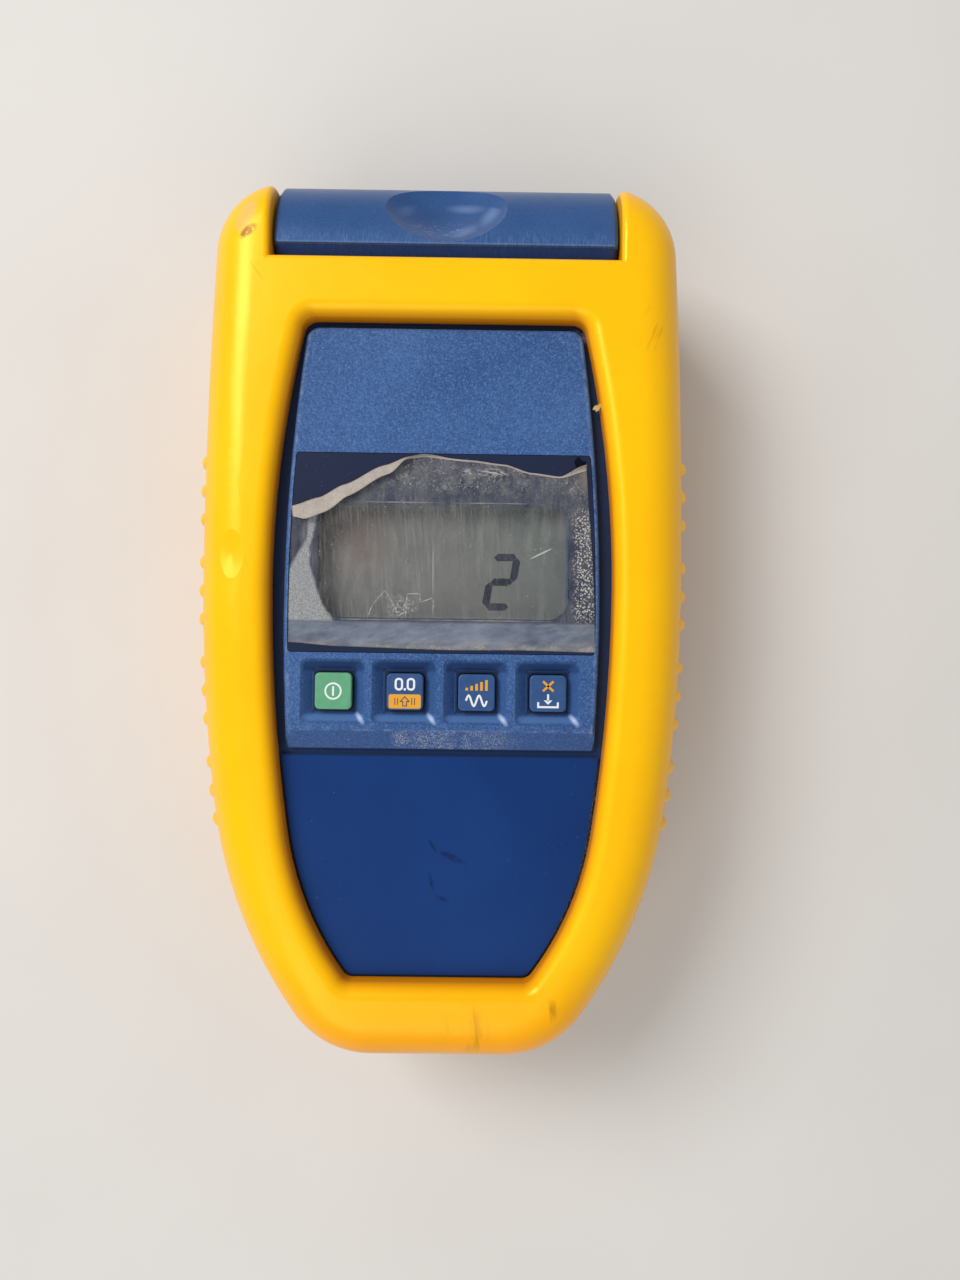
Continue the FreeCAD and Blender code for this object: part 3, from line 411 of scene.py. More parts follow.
def seat_shade_and_dust(f, base, seat, top):
    """Painted shade over the seat around the plateau, with dust in it and bluer painted shade in
    the groove below the ledge.
    """
    x, y = f.axes[:2]
    low_right = f.times(f.ramp(x, 0.0150, 0.0190), f.band(y, -0.0530, -0.0270, 0.0040))
    corner = f.spot((0.0222, 0.0460, top), 0.0022, 0.5, (0.7, 1.6, 0.3))
    dust = f.times(f.most(low_right, corner), f.grain(1600, 3, 0.75, 0.44, 0.62))
    groove = f.band(y, -0.0250, -0.0218, 0.0003)
    return f.coats(base, (seat, 0.92, (22, 30, 54)), (f.times(dust, seat), 0.5, (132, 134, 146)),
                   (f.times(seat, groove), 0.6, (26, 50, 98)))


def ledge_wear(f, base, inside, worn, top):
    """Worn crease above the sloped ledge, and a chalky rub along it with one heavy spot."""
    y = f.axes["Y"]
    crease = f.times(f.band(y, LEDGE_Y - 0.00015, LEDGE_Y + 0.00015, 0.00008), worn)
    ledge = f.times(f.band(y, PLATEAU_ENDS[0], LEDGE_Y, 0.0002), inside)
    reach = f.spot((0.0026, -0.0207, top), 0.0115, 0.55, (1.0, 3.0, 0.5))
    heavy = f.spot((-0.0064, -0.0207, top), 0.0015, 0.6, (0.8, 0.8, 0.5))
    patchy = f.times(f.times(reach, f.grain(420, 2, 0.6, 0.34, 0.56)), 0.8)
    chalk = f.times(f.grain(4200, 3, 0.8, 0.50, 0.58), f.most(patchy, heavy))
    return f.coats(base, (f.times(crease, inside), 0.22, WORN_PALE), (ledge, 0.45, (40, 60, 102)),
                   (f.times(chalk, ledge), 0.85, (162, 166, 178)))


def key_dishes(f, base, top):
    """Dish around each key, with painted shade and light on its slopes, a painted shadow by the
    cap and a painted highlight.
    """
    x, y, z = f.axes
    below = f.ramp(z, top - 0.0002, top - 0.0006)
    for button in ("power_button", "reference_button", "wavelength_button", "save_button"):
        cx, cy = (value * MM for value in key_middle(button)[:2])
        up = f.add(y, -cy)
        square = f.most(f.math("ABSOLUTE", f.add(x, -cx)), f.math("ABSOLUTE", up))
        well = f.times(f.ramp(square, DISH_HALF, DISH_HALF - 0.00028), below)
        # painted shade on the upper slope and painted light on the foot, as lit from above
        shade = f.times(f.ramp(up, 0.0030, 0.0036), well)
        foot = f.times(f.ramp(up, -0.0036, -0.0041), well)
        # painted shadow in the gap around the cap
        gap = f.times(f.ramp(square, 0.0038, 0.0033), below)
        # painted highlight: a pale streak from the cap's lower right corner
        streak = f.spot((cx + 0.0043, cy - 0.0044, top - 0.0006), 0.0011, 0.9,
                        (0.75, 2.0, 0.4), -0.90)
        base = f.coats(base, (well, 0.6, (48, 80, 132)), (shade, 0.7, (28, 50, 92)),
                       (foot, 0.55, (92, 130, 188)), (gap, 0.9, (12, 20, 40)),
                       (streak, 0.75, (196, 210, 236)))
    return base


def shell_wear_and_painted_light(f, base):
    """Wear and painted light on the front shell: plateau edges, its seat, its ledge and the key
    dishes.
    """
    x, y, z = f.axes
    top = box_of("front_shell")[1].z
    plateau_side = box_of("display_lens")[1].x + 0.0008
    crowned = f.add(f.math("ABSOLUTE", x), f.times(f.math("POWER", y, 2.0), 1 / SIDE_BOW))
    inside = f.times(f.ramp(crowned, plateau_side - 0.0001, plateau_side - 0.0003),
                     f.band(y, *PLATEAU_ENDS, 0.0001))
    worn = f.grain(600, 3, 0.65, 0.42, 0.66)
    edge = f.times(f.band(crowned, plateau_side - 0.0009, plateau_side - 0.0004, 0.00015),
                   f.ramp(z, top - 0.0004, top - 0.0002))
    base = f.coat(base, f.times(edge, worn), 0.22, WORN_PALE)
    # painted shade over the seat around the plateau
    seat = f.times(f.rest(inside), f.ramp(z, top - 0.0003, top - 0.0007))
    base = seat_shade_and_dust(f, base, seat, top)
    base = ledge_wear(f, base, inside, worn, top)
    return key_dishes(f, base, top)


def cover_wear_and_painted_light(f, base):
    """Scuffs and a painted highlight over the cover's front edge, painted shade on the lip below
    it and a rubbed thumb scoop.
    """
    y = f.axes["Y"]
    lip_y = box_of("port_cover")[0].y + LIP_LENGTH
    hairs_place = f.moved(0.0, (1.0, 0.16, 0.16))
    hairs = f.ramp(f.noise(5200, 3, 0.7, hairs_place), 0.46, 0.62)
    patchy = f.grain(240, 2, 0.5, 0.25, 0.6, 0.4, 1.0)
    zone = f.times(f.ramp(y, lip_y + 0.0032, lip_y + 0.0006), patchy)
    base = f.coat(base, f.times(hairs, zone), 0.24, (130, 154, 196))
    # painted highlight along the cover's front edge
    edge = f.band(y, lip_y - 0.00002, lip_y + 0.00030, 0.00006)
    base = f.coat(base, edge, 0.18, (120, 146, 190))
    # painted shade on the lip below that edge
    lip = f.ramp(y, lip_y, lip_y - 0.00012)
    base = f.coat(base, lip, 0.75, (20, 46, 108))
    # the thumb scoop: rubbed smooth, with painted reflections darker at its middle left and paler
    # at its right rim and foot, scratched low down
    bowl = f.spot((0.0, 0.0648, COVER_Z), 0.0100, 0.06, (1.02, 2.1, 0.6))
    # place, radius, squeeze across and along, turn, share and colour of each painted reflection in
    # it
    painted_reflections = (((-0.0030, 0.0655), 0.0052, (1.0, 1.7), 0.2, 0.50, (40, 66, 112)),
              ((0.0072, 0.0660), 0.0026, (1.6, 0.8), -0.6, 0.60, (122, 146, 188)),
              ((0.0030, 0.0678), 0.0040, (1.0, 3.4), -0.1, 0.55, (128, 150, 190)),
              ((0.0028, 0.0628), 0.0030, (1.0, 2.0), 0.5, 0.55, (112, 138, 184)),
              ((-0.0066, 0.0668), 0.0022, (1.0, 1.6), 0.7, 0.40, (104, 130, 176)))
    for place, radius, squeeze, turn, share, colour in painted_reflections:
        patch = f.times(f.spot((*place, COVER_Z), radius, 0.9, (*squeeze, 0.3), turn), bowl)
        base = f.coat(base, patch, share, colour)
    scratch_place = f.moved(0.12, (0.30, 1.0, 0.3), (0, 0.0640, 0))
    scratches = f.times(f.ramp(f.noise(2600, 3, 0.7, scratch_place), 0.56, 0.64),
                        f.spot((0.0, 0.0632, COVER_Z), 0.0070, 0.7, (1.0, 3.0, 0.3)))
    return f.coat(base, scratches, 0.40, (150, 168, 202))


def key_finish(name, colour, light):
    """Satin key cap, rubbed paler along its edges."""
    f = Finish(name)
    colour, light = paint(*colour), paint(*light)
    top = box_of("power_button")[1].z
    rim = f.band(f.axes["Z"], top - 0.00034, top - 0.00004, 0.00005)
    base = f.blend(f.grain(500, 3, 0.6, 0.3, 0.75, 0.0, 0.35), colour, light)
    base = f.blend(f.times(rim, 0.35), base, light)
    normal = f.bump(f.noise(2200, 2, 0.5), 0.00002, 0.5)
    return f.set(Base_Color=base, Roughness=0.36, Normal=normal, Specular_IOR_Level=0.3).material


def plain_finish(name, colour, second, scale=200, rough=0.5, metal=0.0, stretch=(1, 1, 1),
                 shine=0.5):
    """Two-tone finish with a fine relief, for pieces with one plain surface."""
    f = Finish(name)
    place = f.moved(0.0, stretch)
    tone = f.noise(scale, 3, 0.6, place)
    base = f.blend(f.ramp(tone, 0.3, 0.7, 0.0, 0.6), paint(*colour), paint(*second))
    f.set(Base_Color=base, Metallic=metal, Specular_IOR_Level=shine,
          Normal=f.bump(f.noise(scale * 5, 2, 0.6, place), 0.00002),
          Roughness=f.ramp(tone, 0.3, 0.7, rough * 0.85, rough * 1.15))
    return f.material


def label_finish():
    """Smooth navy overlay with faint rub marks, four dark pen-like scratches and painted shade on
    its sides.
    """
    f = Finish("label_film")
    top = box_of("front_label")[1].z
    base = f.blend(f.grain(45, 3, 0.5, 0.3, 0.7), paint(14, 46, 102), paint(18, 52, 110))
    rub = f.times(f.grain(1500, 3, 0.7, 0.66, 0.74), f.grain(60, 2, 0.5, 0.45, 0.6))
    base = f.coat(base, rub, 0.25, (120, 140, 176))
    # painted shade on the label's sides, along its edge
    rim = f.ramp(f.axes["Z"], top - 0.00002, top - 0.00008)
    base = f.coat(base, rim, 0.7, (12, 22, 46))
    marks = 0.0
    for middle, reach, squeeze, turn in (((0.0022, -0.0400), 0.0030, (1.0, 4.6, 0.3), -0.42),
                                         ((-0.0010, -0.0382), 0.0017, (5.5, 1.0, 0.3), 0.55),
                                         ((-0.0012, -0.0440), 0.0018, (4.6, 1.0, 0.3), 0.25),
                                         ((0.0006, -0.0468), 0.0015, (1.0, 3.6, 0.3), -0.35)):
        mark = f.spot((*middle, top), reach, 0.5, squeeze, turn)
        marks = f.most(marks, mark)
    broken = f.grain(1400, 3, 0.7, 0.30, 0.54)
    base = f.coat(base, f.times(marks, broken), 0.7, (8, 26, 66))
    normal = f.bump(f.noise(700, 2, 0.5), 0.000015, 0.6)
    return f.set(Base_Color=base, Normal=normal, Specular_IOR_Level=0.25,
                 Specular_Tint=paint(170, 200, 255),
                 Roughness=f.grain(120, 2, 0.5, 0.2, 0.8, 0.37, 0.43)).material


def display_finish():
    """Grey display glass, a shade redder at its upper left and greener at its right."""
    f = Finish("lcd_glass")
    x, y = f.axes[:2]
    base = f.blend(f.grain(90, 3, 0.5, 0.3, 0.7), paint(119, 120, 118), paint(112, 113, 112))
    warm = f.spot((-0.0145, 0.0125, 0.033), 0.0080, 0.9, (1.0, 1.0, 0.5))
    base = f.coat(base, warm, 0.7, (126, 108, 100))
    cool = f.ramp(f.add(x, f.times(y, 0.5)), 0.006, 0.028)
    base = f.coat(base, cool, 0.8, (96, 108, 104))
    grain = f.grain(2400, 3, 0.7, 0.3, 0.7, 0.0, 0.25)
    base = f.blend(grain, base, paint(98, 98, 94))
    normal = f.bump(f.noise(500, 2, 0.5), 0.00001, 0.3)
    return f.set(Base_Color=base, Roughness=0.35, Normal=normal, Specular_IOR_Level=0.3).material


def board_finish():
    """Green solder mask with tracks, pads and vias."""
    f = Finish("board_laminate")
    tracks = f.node("ShaderNodeTexBrick", offset=0.5)
    f.feed(tracks.inputs["Vector"], f.place)
    tracks.inputs["Scale"].default_value = 130
    tracks.inputs["Mortar Size"].default_value = 0.035
    grid = tracks.outputs["Fac"]
    mask = f.times(grid, f.grain(160, 1, 0.5, 0.46, 0.5))
    base = f.blend(f.grain(90, 2, 0.5, 0.3, 0.7), paint(20, 92, 50), paint(26, 108, 60))
    base = f.blend(mask, base, paint(58, 146, 88))
    vias = f.ramp(f.cells(420), 0.10, 0.06)
    base = f.blend(vias, base, paint(206, 190, 120))
    normal = f.bump(f.add(mask, vias), 0.00004, 0.5)
    return f.set(Base_Color=base, Roughness=0.35, Normal=normal).material


def folded_finish():
    """The film's folded strip, thicker and browner than the rest."""
    f = Finish("film_folded")
    base = f.blend(f.noise(700, 3, 0.6), paint(156, 146, 136), paint(196, 186, 176))
    return f.set(Base_Color=base, Alpha=f.grain(3400, 3, 0.7, 0.35, 0.65, 0.62, 0.85),
                 Roughness=0.42, Specular_IOR_Level=0.3,
                 Normal=f.bump(f.noise(500, 3, 0.6), 0.00008, 0.7)).material


def film_sides(f):
    """Dried adhesive: where it lies on the left, and its cover there and in dots on the right."""
    x, y = f.axes[:2]
    ragged = f.add(x, f.times(f.add(f.noise(300, 2, 0.5), -0.5), 0.002))
    right = f.times(f.ramp(f.add(ragged, f.times(f.noise(500, 2, 0.6), 0.0010)), 0.0214, 0.0226),
                    f.band(y, -0.0010, 0.0170, 0.0015))
    bow = f.add(ragged, f.times(f.math("POWER", f.add(y, -0.0092), 2.0), -34.0))
    left = f.times(f.ramp(bow, -0.0212, -0.0218), f.band(y, -0.0016, 0.0172, 0.0004))
    wedge = f.ramp(f.add(y, f.times(x, -1.75)), 0.0500, 0.0512)
    outer = f.ramp(x, -0.0222, -0.0218, 1.0, 0.0)
    left = f.times(left, f.rest(f.times(wedge, outer)))
    bead = f.ramp(f.cells(2800), 0.50, 0.32)
    dots = f.times(bead, f.grain(700, 2, 0.6, 0.25, 0.55, 0.45, 1.0))
    return left, f.most(f.times(right, f.add(f.times(dots, 0.88), 0.06)),
                        f.times(left, f.grain(4600, 3, 0.8, 0.36, 0.62, 0.30, 0.86)))


def film_hems(f, cloud, fine):
    """Loose bottom, its frayed foot, and the milky cover of both and of the lifted top edge."""
    x, y = f.axes[:2]
    bottom = f.ramp(y, -0.0012, -0.0018)
    streak_place = f.moved(0.25, (0.30, 1.0, 1.0))
    streaks = f.ramp(f.noise(800, 4, 0.7, streak_place), 0.38, 0.66)
    milky = f.add(f.ramp(cloud, 0, 1, 0.20, 0.40), f.times(streaks, 0.26))
    foot = f.times(f.ramp(y, -0.0040, -0.0054), f.grain(200, 3, 0.6, 0.30, 0.60))
    frayed = f.ramp(f.ramp(fine, 0.40, 0.62), 0, 1, 0.45, 0.75)
    top = f.ramp(f.add(y, f.times(x, 0.03)), 0.0180, 0.0205)
    crumbs = f.times(f.grain(2400, 3, 0.75, 0.53, 0.66),
                     f.grain(330, 2, 0.6, 0.35, 0.6, 0.2, 0.62))
    crumbs = f.most(crumbs, f.grain(420, 4, 0.75, 0.38, 0.66, 0.04, 0.28))
    loose = f.most(f.times(bottom, milky), f.times(top, crumbs))
    return bottom, foot, f.most(loose, f.times(foot, frayed))


def film_ridges(f):
    """Worn ridges above and below the window."""
    x, y = f.axes[:2]
    upper = f.times(f.band(y, 0.01788, 0.01806, 0.00008), f.band(x, -0.0150, 0.0170, 0.0030))
    lower = f.times(f.band(y, -0.00126, -0.00106, 0.00007), f.band(x, -0.0165, 0.0175, 0.0020))
    return f.times(f.most(upper, lower), f.grain(260, 2, 0.5, 0.30, 0.7, 0.25, 1.0))


def film_cracks(f):
    """Wavy crack with dust around it, at the lower left."""
    half_width = 0.00011
    crack = [(-12.0, -0.7), (-11.3, 1.2), (-9.3, 3.6), (-8.0, 1.6), (-7.0, -0.6), (-6.0, 0.2),
             (-5.6, 3.1), (-3.6, 3.1), (-3.5, 1.7), (-1.4, 2.5), (-1.4, -0.3)]
    crazed = 0.0
    for (x0, y0), (x1, y1) in zip(crack, crack[1:]):
        length = math.hypot(x1 - x0, y1 - y0)
        middle = ((x0 + x1) / 2 * MM, (y0 + y1) / 2 * MM, FILM_Z)
        turn = math.atan2(y1 - y0, x1 - x0)
        reach = (length / 2 + 0.15) * MM
        line = f.spot(middle, reach, 0.2, (1.0, reach / half_width, 0.2), turn)
        crazed = f.most(crazed, line)
    dusty = f.spot((-0.0066, 0.0008, FILM_Z), 0.0034, 0.7, (1.0, 1.3, 0.2))
    return f.most(f.times(crazed, f.grain(2600, 2, 0.7, 0.36, 0.52)),
                  f.times(dusty, f.grain(3000, 2, 0.6, 0.48, 0.60)))


def film_finish():
    """Clear protective film: hazy, rubbed, scratched, and milky where it has come loose."""
    f = Finish("film_clear")
    x, y = f.axes[:2]
    fine = f.noise(3400, 3, 0.7)
    cloud = f.grain(150, 4, 0.6, 0.35, 0.7)
    inside = f.times(f.band(x, -0.0203, 0.0203, 0.0006), f.band(y, -0.0008, 0.0172, 0.0006))
    left, sides = film_sides(f)
    bottom, foot, hems = film_hems(f, cloud, fine)
    # thin haze with long rub marks, mostly up and down
    hair_place = f.moved(0.06, (1.0, 0.05, 1.0))
    hairs = f.times(f.ramp(f.noise(2600, 3, 0.7, hair_place), 0.48, 0.74),
                    f.grain(110, 2, 0.5, 0.36, 0.62))
    smear = f.noise(420, 3, 0.6, f.moved(-0.05, (1.0, 0.22, 1.0)))
    alpha = f.add(f.ramp(cloud, 0, 1, 0.01, 0.05),
                  f.times(f.rest(inside), f.ramp(cloud, 0, 1, 0.01, 0.09)))
    for layer, share in ((hairs, 0.16), (f.grain(2600, 3, 0.7, 0.45, 0.65), 0.05),
                         (f.ramp(smear, 0.50, 0.72), 0.10)):
        alpha = f.add(alpha, f.times(layer, share))
    # browned tip, flecks along the top edge, a short cut, a straight scratch and motes
    tip = f.times(f.spot((0.0236, 0.0216, FILM_Z + 0.0003), 0.0030, 0.8, (1.2, 0.8, 0.3), 0.4),
                  f.grain(1300, 3, 0.7, 0.25, 0.6, 0.5, 1.0))
    fleck_place = f.moved(-0.15, (0.30, 1, 1))
    flecks = f.times(f.ramp(f.noise(2600, 3, 0.7, fleck_place), 0.50, 0.60),
                     f.times(f.band(x, 0.0030, 0.0105, 0.0012), f.band(y, 0.0224, 0.0235, 0.0003)))
    cut = f.spot((0.0161, 0.0099, FILM_Z), 0.0021, 0.15, (1.0, 16.0, 0.2), 0.46)
    straight = f.spot((-0.0015, 0.0072, FILM_Z), 0.0056, 0.4, (45.0, 1.0, 0.2), 0.01)
    motes = f.times(f.ramp(f.cells(1100), 0.13, 0.08), f.grain(260, 1, 0.5, 0.48, 0.58))
    for layer, share in ((sides, 1.0), (hems, 1.0), (film_ridges(f), 0.5), (film_cracks(f), 0.55),
                         (cut, 0.85), (straight, 0.35), (motes, 0.6), (flecks, 0.75), (tip, 0.5)):
        alpha = f.most(alpha, f.times(layer, share))
    # both skins of the film are seen through, so each takes half of the cover
    clear = f.math("SQRT", f.rest(f.math("MINIMUM", alpha, 0.97)))
    base = f.blend(fine, paint(172, 172, 168), paint(222, 220, 214))
    base = f.coats(base, (bottom, 0.75, (150, 166, 192)), (foot, 0.7, (190, 184, 176)),
                   (tip, 0.85, (168, 144, 126)), (left, 0.7, (184, 188, 192)))
    return f.set(Base_Color=base, Alpha=f.rest(clear), Roughness=0.28, Specular_IOR_Level=0.3,
                 Normal=f.bump(f.noise(330, 3, 0.6), 0.00006, 0.7)).material


# Torn film


def along(points, x):
    """Height of a smooth line through points at an x."""
    if x <= points[0][0]:
        return points[0][1]
    for (x0, y0), (x1, y1) in zip(points, points[1:]):
        if x <= x1:
            share = (x - x0) / (x1 - x0)
            share = share * share * (3 - 2 * share) * 0.5 + share * 0.5
            return y0 + (y1 - y0) * share
    return points[-1][1]


def soft_step(value):
    """0 to 1 with level ends."""
    value = min(max(value, 0.0), 1.0)
    return value * value * (3 - 2 * value)


# the film's form at places along X, in millimetres and degrees
FOOT = [(-24.9, -5.0), (-16.5, -5.6), (1.5, -6.0), (12.8, -5.9), (25.1, -6.1)]    # lower edge
# line where the top edge starts to curl, and its height over the flat film
CREST = [(-24.4, 16.8), (-20.0, 18.2), (-16.0, 20.3), (-9.5, 23.5), (-5.5, 24.9), (-3.0, 25.2),
         (4.3, 24.5), (10.0, 23.9), (14.1, 22.7), (19.0, 22.1), (23.2, 23.0)]
LIFT = [(-24.4, 0.10), (-9.0, 0.12), (-3.0, 0.35), (4.3, 0.75), (10.0, 0.6), (14.1, 0.35),
        (19.0, 0.5), (23.2, 1.2)]
# angle and radius of the curl, and length of the strip past it
TURN_BACK = [(-24.4, 168.0), (-9.0, 165.0), (-3.5, 80.0), (1.0, 28.0), (19.0, 24.0), (23.2, 70.0)]
CURL = [(-24.4, 0.30), (-9.0, 0.32), (0.0, 0.45), (19.0, 0.45), (23.2, 1.0)]
FLAP = [(-24.4, 1.6), (-23.0, 2.4), (-16.0, 2.1), (-10.0, 1.4), (-4.0, 0.25), (1.0, 0.08),
        (19.0, 0.08), (23.2, 0.4)]

FILM_COLUMNS, FILM_ROWS, CURL_STEPS = 120, 70, 10
FILM_THICKNESS = 0.05     # millimetres
FILM_GAP = 0.09           # between the flat film and the plate, in millimetres
LIFT_START = 0.78         # share of the film's height at which it leaves the plate
SAG_END = 0.10            # share of its height over which the lower edge stands off


def film_curl(edge, across, x):
    """Points around the curl that starts at an edge point, and along the strip past it."""
    beside = 0.8
    slope = (along(CREST, x + beside) - along(CREST, x - beside)) / (2 * beside)
    outward = Vector((-slope, 1.0, 0.0)).normalized()
    radius = along(CURL, x)
    most = math.radians(along(TURN_BACK, x))
    points = []
    for k in range(1, CURL_STEPS + 1):
        turn = most * k / CURL_STEPS
        points.append(edge + outward * radius * math.sin(turn)
                      + Vector((0, 0, radius * (1 - math.cos(turn)))))
    reach = along(FLAP, x) * (1 + 0.12 * math.sin(23 * across))
    way = outward * math.cos(most) + Vector((0, 0, math.sin(most)))
    last = points[-1]
    for k in range(1, CURL_STEPS + 1):
        points.append(last + way * reach * k / CURL_STEPS)
    return points


def film_column(across, plate_z):
    """Points up the film, from its lower edge, at a share of its width."""
    x_foot = FOOT[0][0] + across * (FOOT[-1][0] - FOOT[0][0])
    x_crest = CREST[0][0] + across * (CREST[-1][0] - CREST[0][0])
    low, high = along(FOOT, x_foot), along(CREST, x_crest)
    column = []
    for j in range(FILM_ROWS + 1):
        up = j / FILM_ROWS
        bow = 0.5 * math.sin(math.pi * up) * (across - 0.35)
        wave = 0.05 * math.sin(9 * across + 5 * up) * math.sin(3 * up + 7 * across)
        rise = along(LIFT, x_crest) * soft_step((up - LIFT_START) / (1 - LIFT_START)) ** 1.5
        sag = soft_step((SAG_END - up) / SAG_END) * (0.09 + 0.09 * math.sin(11 * across))
        column.append(Vector((x_foot + (x_crest - x_foot) * up + bow, low + (high - low) * up,
                              plate_z + FILM_GAP + abs(wave) + rise + sag)))
    return column + film_curl(column[-1], across, x_crest)


def make_film():
    """Torn film on the display plate, folded back at its top left and curling off at its top."""
    plate_z = box_of("display_lens")[1].z / MM
    grid = [film_column(i / FILM_COLUMNS, plate_z) for i in range(FILM_COLUMNS + 1)]

    def build(work):
        columns = [[work.verts.new(point * MM) for point in column] for column in grid]
        for left, right in zip(columns, columns[1:]):
            for j in range(len(left) - 1):
                work.faces.new((left[j], right[j], right[j + 1], left[j + 1]))

    piece = add_piece("film_sheet", mesh_of("film_sheet", build), "housing", film_finish(),
                      True)
    piece.data.materials.append(folded_finish())
    for face in piece.data.polygons:
        row = face.index % (FILM_ROWS + 2 * CURL_STEPS)
        face.material_index = int(row >= FILM_ROWS + 2)
    skin = piece.modifiers.new("skin", "SOLIDIFY")
    skin.thickness = FILM_THICKNESS * MM
    skin.offset = 1.0
    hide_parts("display_film")


# Printed display plate, digit and key marks

# millimetres
WINDOW_HALF = (20.5, 9.4)
WINDOW_MIDDLE = (0.15, 8.55)
WINDOW_CORNER = 3.4
MARK_LOW = 0.002          # underside and top of a key's mark over its cap
MARK_HIGH = 0.012
BLOCK_DROP = 1.55         # from a cap's middle down to its printed block


def border_finish():
    """Dark blue print behind glossy acrylic, with a few grains of dust."""
    f = Finish("lens_print")
    tone = f.blend(f.grain(60, 2, 0.5, 0.3, 0.7), paint(8, 24, 56), paint(12, 30, 64))
    tone = f.coat(tone, f.ramp(f.cells(1100), 0.07, 0.04), 0.4, (150, 160, 176))
    return f.set(Base_Color=tone, Roughness=0.2, Specular_IOR_Level=0.5,
                 Normal=f.bump(f.noise(300, 2, 0.5), 0.00002, 0.4)).material


def window_finish():
    """Clear acrylic with a faint haze."""
    f = Finish("lens_clear")
    haze = f.grain(200, 3, 0.6, 0.3, 0.7, 0.02, 0.04)
    return f.set(Base_Color=paint(50, 58, 70), Alpha=haze, Roughness=0.12,
                 Specular_IOR_Level=0.3).material


def split_lens():
    """Display plate as a printed border and a clear window, cut from the CAD plate's own form."""
    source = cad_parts["display_lens"]
    low, high = box_of("display_lens")
    outline = [(x * MM, y * MM)
               for x, y in rounded(*WINDOW_MIDDLE, *WINDOW_HALF, WINDOW_CORNER, 12)]
    cutter_mesh = mesh_of("window_cutter", lambda work: raise_outline(work, outline, low.z - MM,
                                                                      high.z + MM))
    cutter = put("window_cutter", cutter_mesh)
    made = {}
    for name, operation in (("lens_border", "DIFFERENCE"), ("lens_window", "INTERSECT")):
        blank = put(name + "_blank", source.data.copy())
        cut = blank.modifiers.new("cut", "BOOLEAN")
        cut.operation = operation
        cut.solver = "EXACT"
        cut.object = cutter
        bpy.context.view_layer.update()
        shape = blank.evaluated_get(bpy.context.evaluated_depsgraph_get())
        made[name] = bpy.data.meshes.new_from_object(shape)
        made[name].name = name
        bpy.data.objects.remove(blank)
    bpy.data.objects.remove(cutter)
    border = add_piece("lens_border", made["lens_border"], "housing", border_finish())
    add_piece("lens_window", made["lens_window"], "housing", window_finish())
    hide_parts("display_lens")


def digit_outlines(lit, cx, cy, height, width, thick, slant):
    """Outlines of the lit bars of a leaning seven-bar digit; a to f run clockwise from the top."""
    gap = 0.06 * height / 9
    half_w, half_h = width / 2, height / 2
    # corners down the right side and back up the left, and the two that each bar joins
    corners = [(half_w, half_h), (half_w, 0), (half_w, -half_h), (-half_w, -half_h), (-half_w, 0),
               (-half_w, half_h)]
    ends = {"a": (5, 0), "b": (0, 1), "c": (1, 2), "d": (3, 2), "e": (3, 4), "f": (4, 5),
            "g": (4, 1)}
    outlines = []
    for bar in lit:
        start, end = (Vector(corners[i]) for i in ends[bar])
        way = (end - start).normalized()
        side = Vector((-way.y, way.x)) * thick / 2
        start += way * gap
        end -= way * gap
        tip = way * thick / 2
        points = [start, start + tip + side, end - tip + side, end, end - tip - side,
                  start + tip - side]
        outlines.append([(cx + p.x + slant * p.y, cy + p.y) for p in points])
    return outlines


def ink(name, colour, rough=0.5):
    """Printed colour with a slightly uneven coverage."""
    f = Finish(name)
    full = paint(*colour)
    thin = tuple(0.8 * value for value in full[:3]) + (1.0,)
    cover = f.grain(1800, 3, 0.6, 0.3, 0.62, 0.75, 1.0)
    return f.set(Base_Color=f.blend(cover, thin, full), Roughness=rough).material


def make_digit():
    """Dark digit of the display, on the glass."""
    glass_top = box_of("lcd_glass")[1].z
    bars = digit_outlines("abged", cx=9.75, cy=5.45, height=8.3, width=3.9, thick=1.22,
                          slant=0.16)

    def build(work):
        for outline in bars:
            raise_outline(work, [(x * MM, y * MM) for x, y in outline], glass_top + 0.01 * MM,
                          glass_top + 0.05 * MM)

    add_piece("display_digit", mesh_of("display_digit", build), "housing",
              ink("digit_dark", (0, 14, 46), 0.8))


def key_middle(button):
    """Middle and top of a key, in millimetres."""
    low, high = box_of(button)
    return (low.x + high.x) / 2 / MM, (low.y + high.y) / 2 / MM, high.z / MM


def print_on_key(name, key, draw, material, slot):
    """Printed mark on a key: draw fills a bmesh, given the cap's middle and two heights."""
    cx, cy, top = key_middle(key + "_button")

    def build(work):
        draw(work, cx, cy, top + MARK_LOW, top + MARK_HIGH)
        bmesh.ops.scale(work, vec=(MM, MM, MM), verts=work.verts)

    add_piece(name, mesh_of(name, build), key + "_key", material)


def draw_power(work, cx, cy, low, high):
    raise_ring(work, circle(cx, cy, 1.12), circle(cx, cy, 1.40), low, high)
    stroke(work, [(cx, cy - 0.78), (cx, cy + 0.78)], 0.30, low, high)


def draw_zero(work, cx, cy, low, high):
    """Plain 0.0 above the middle."""
    for x in (cx - 0.98, cx + 0.98):
        points = rounded(x, cy + 1.25, 0.52, 0.86, 0.46, 6)
        stroke(work, points, 0.33, low, high, True)
    raise_outline(work, circle(cx, cy + 0.42, 0.21, 16), low, high)


def draw_block(work, cx, cy, low, high):
    raise_outline(work, rounded(cx, cy - BLOCK_DROP, 2.62, 1.15, 0.35), low, high)


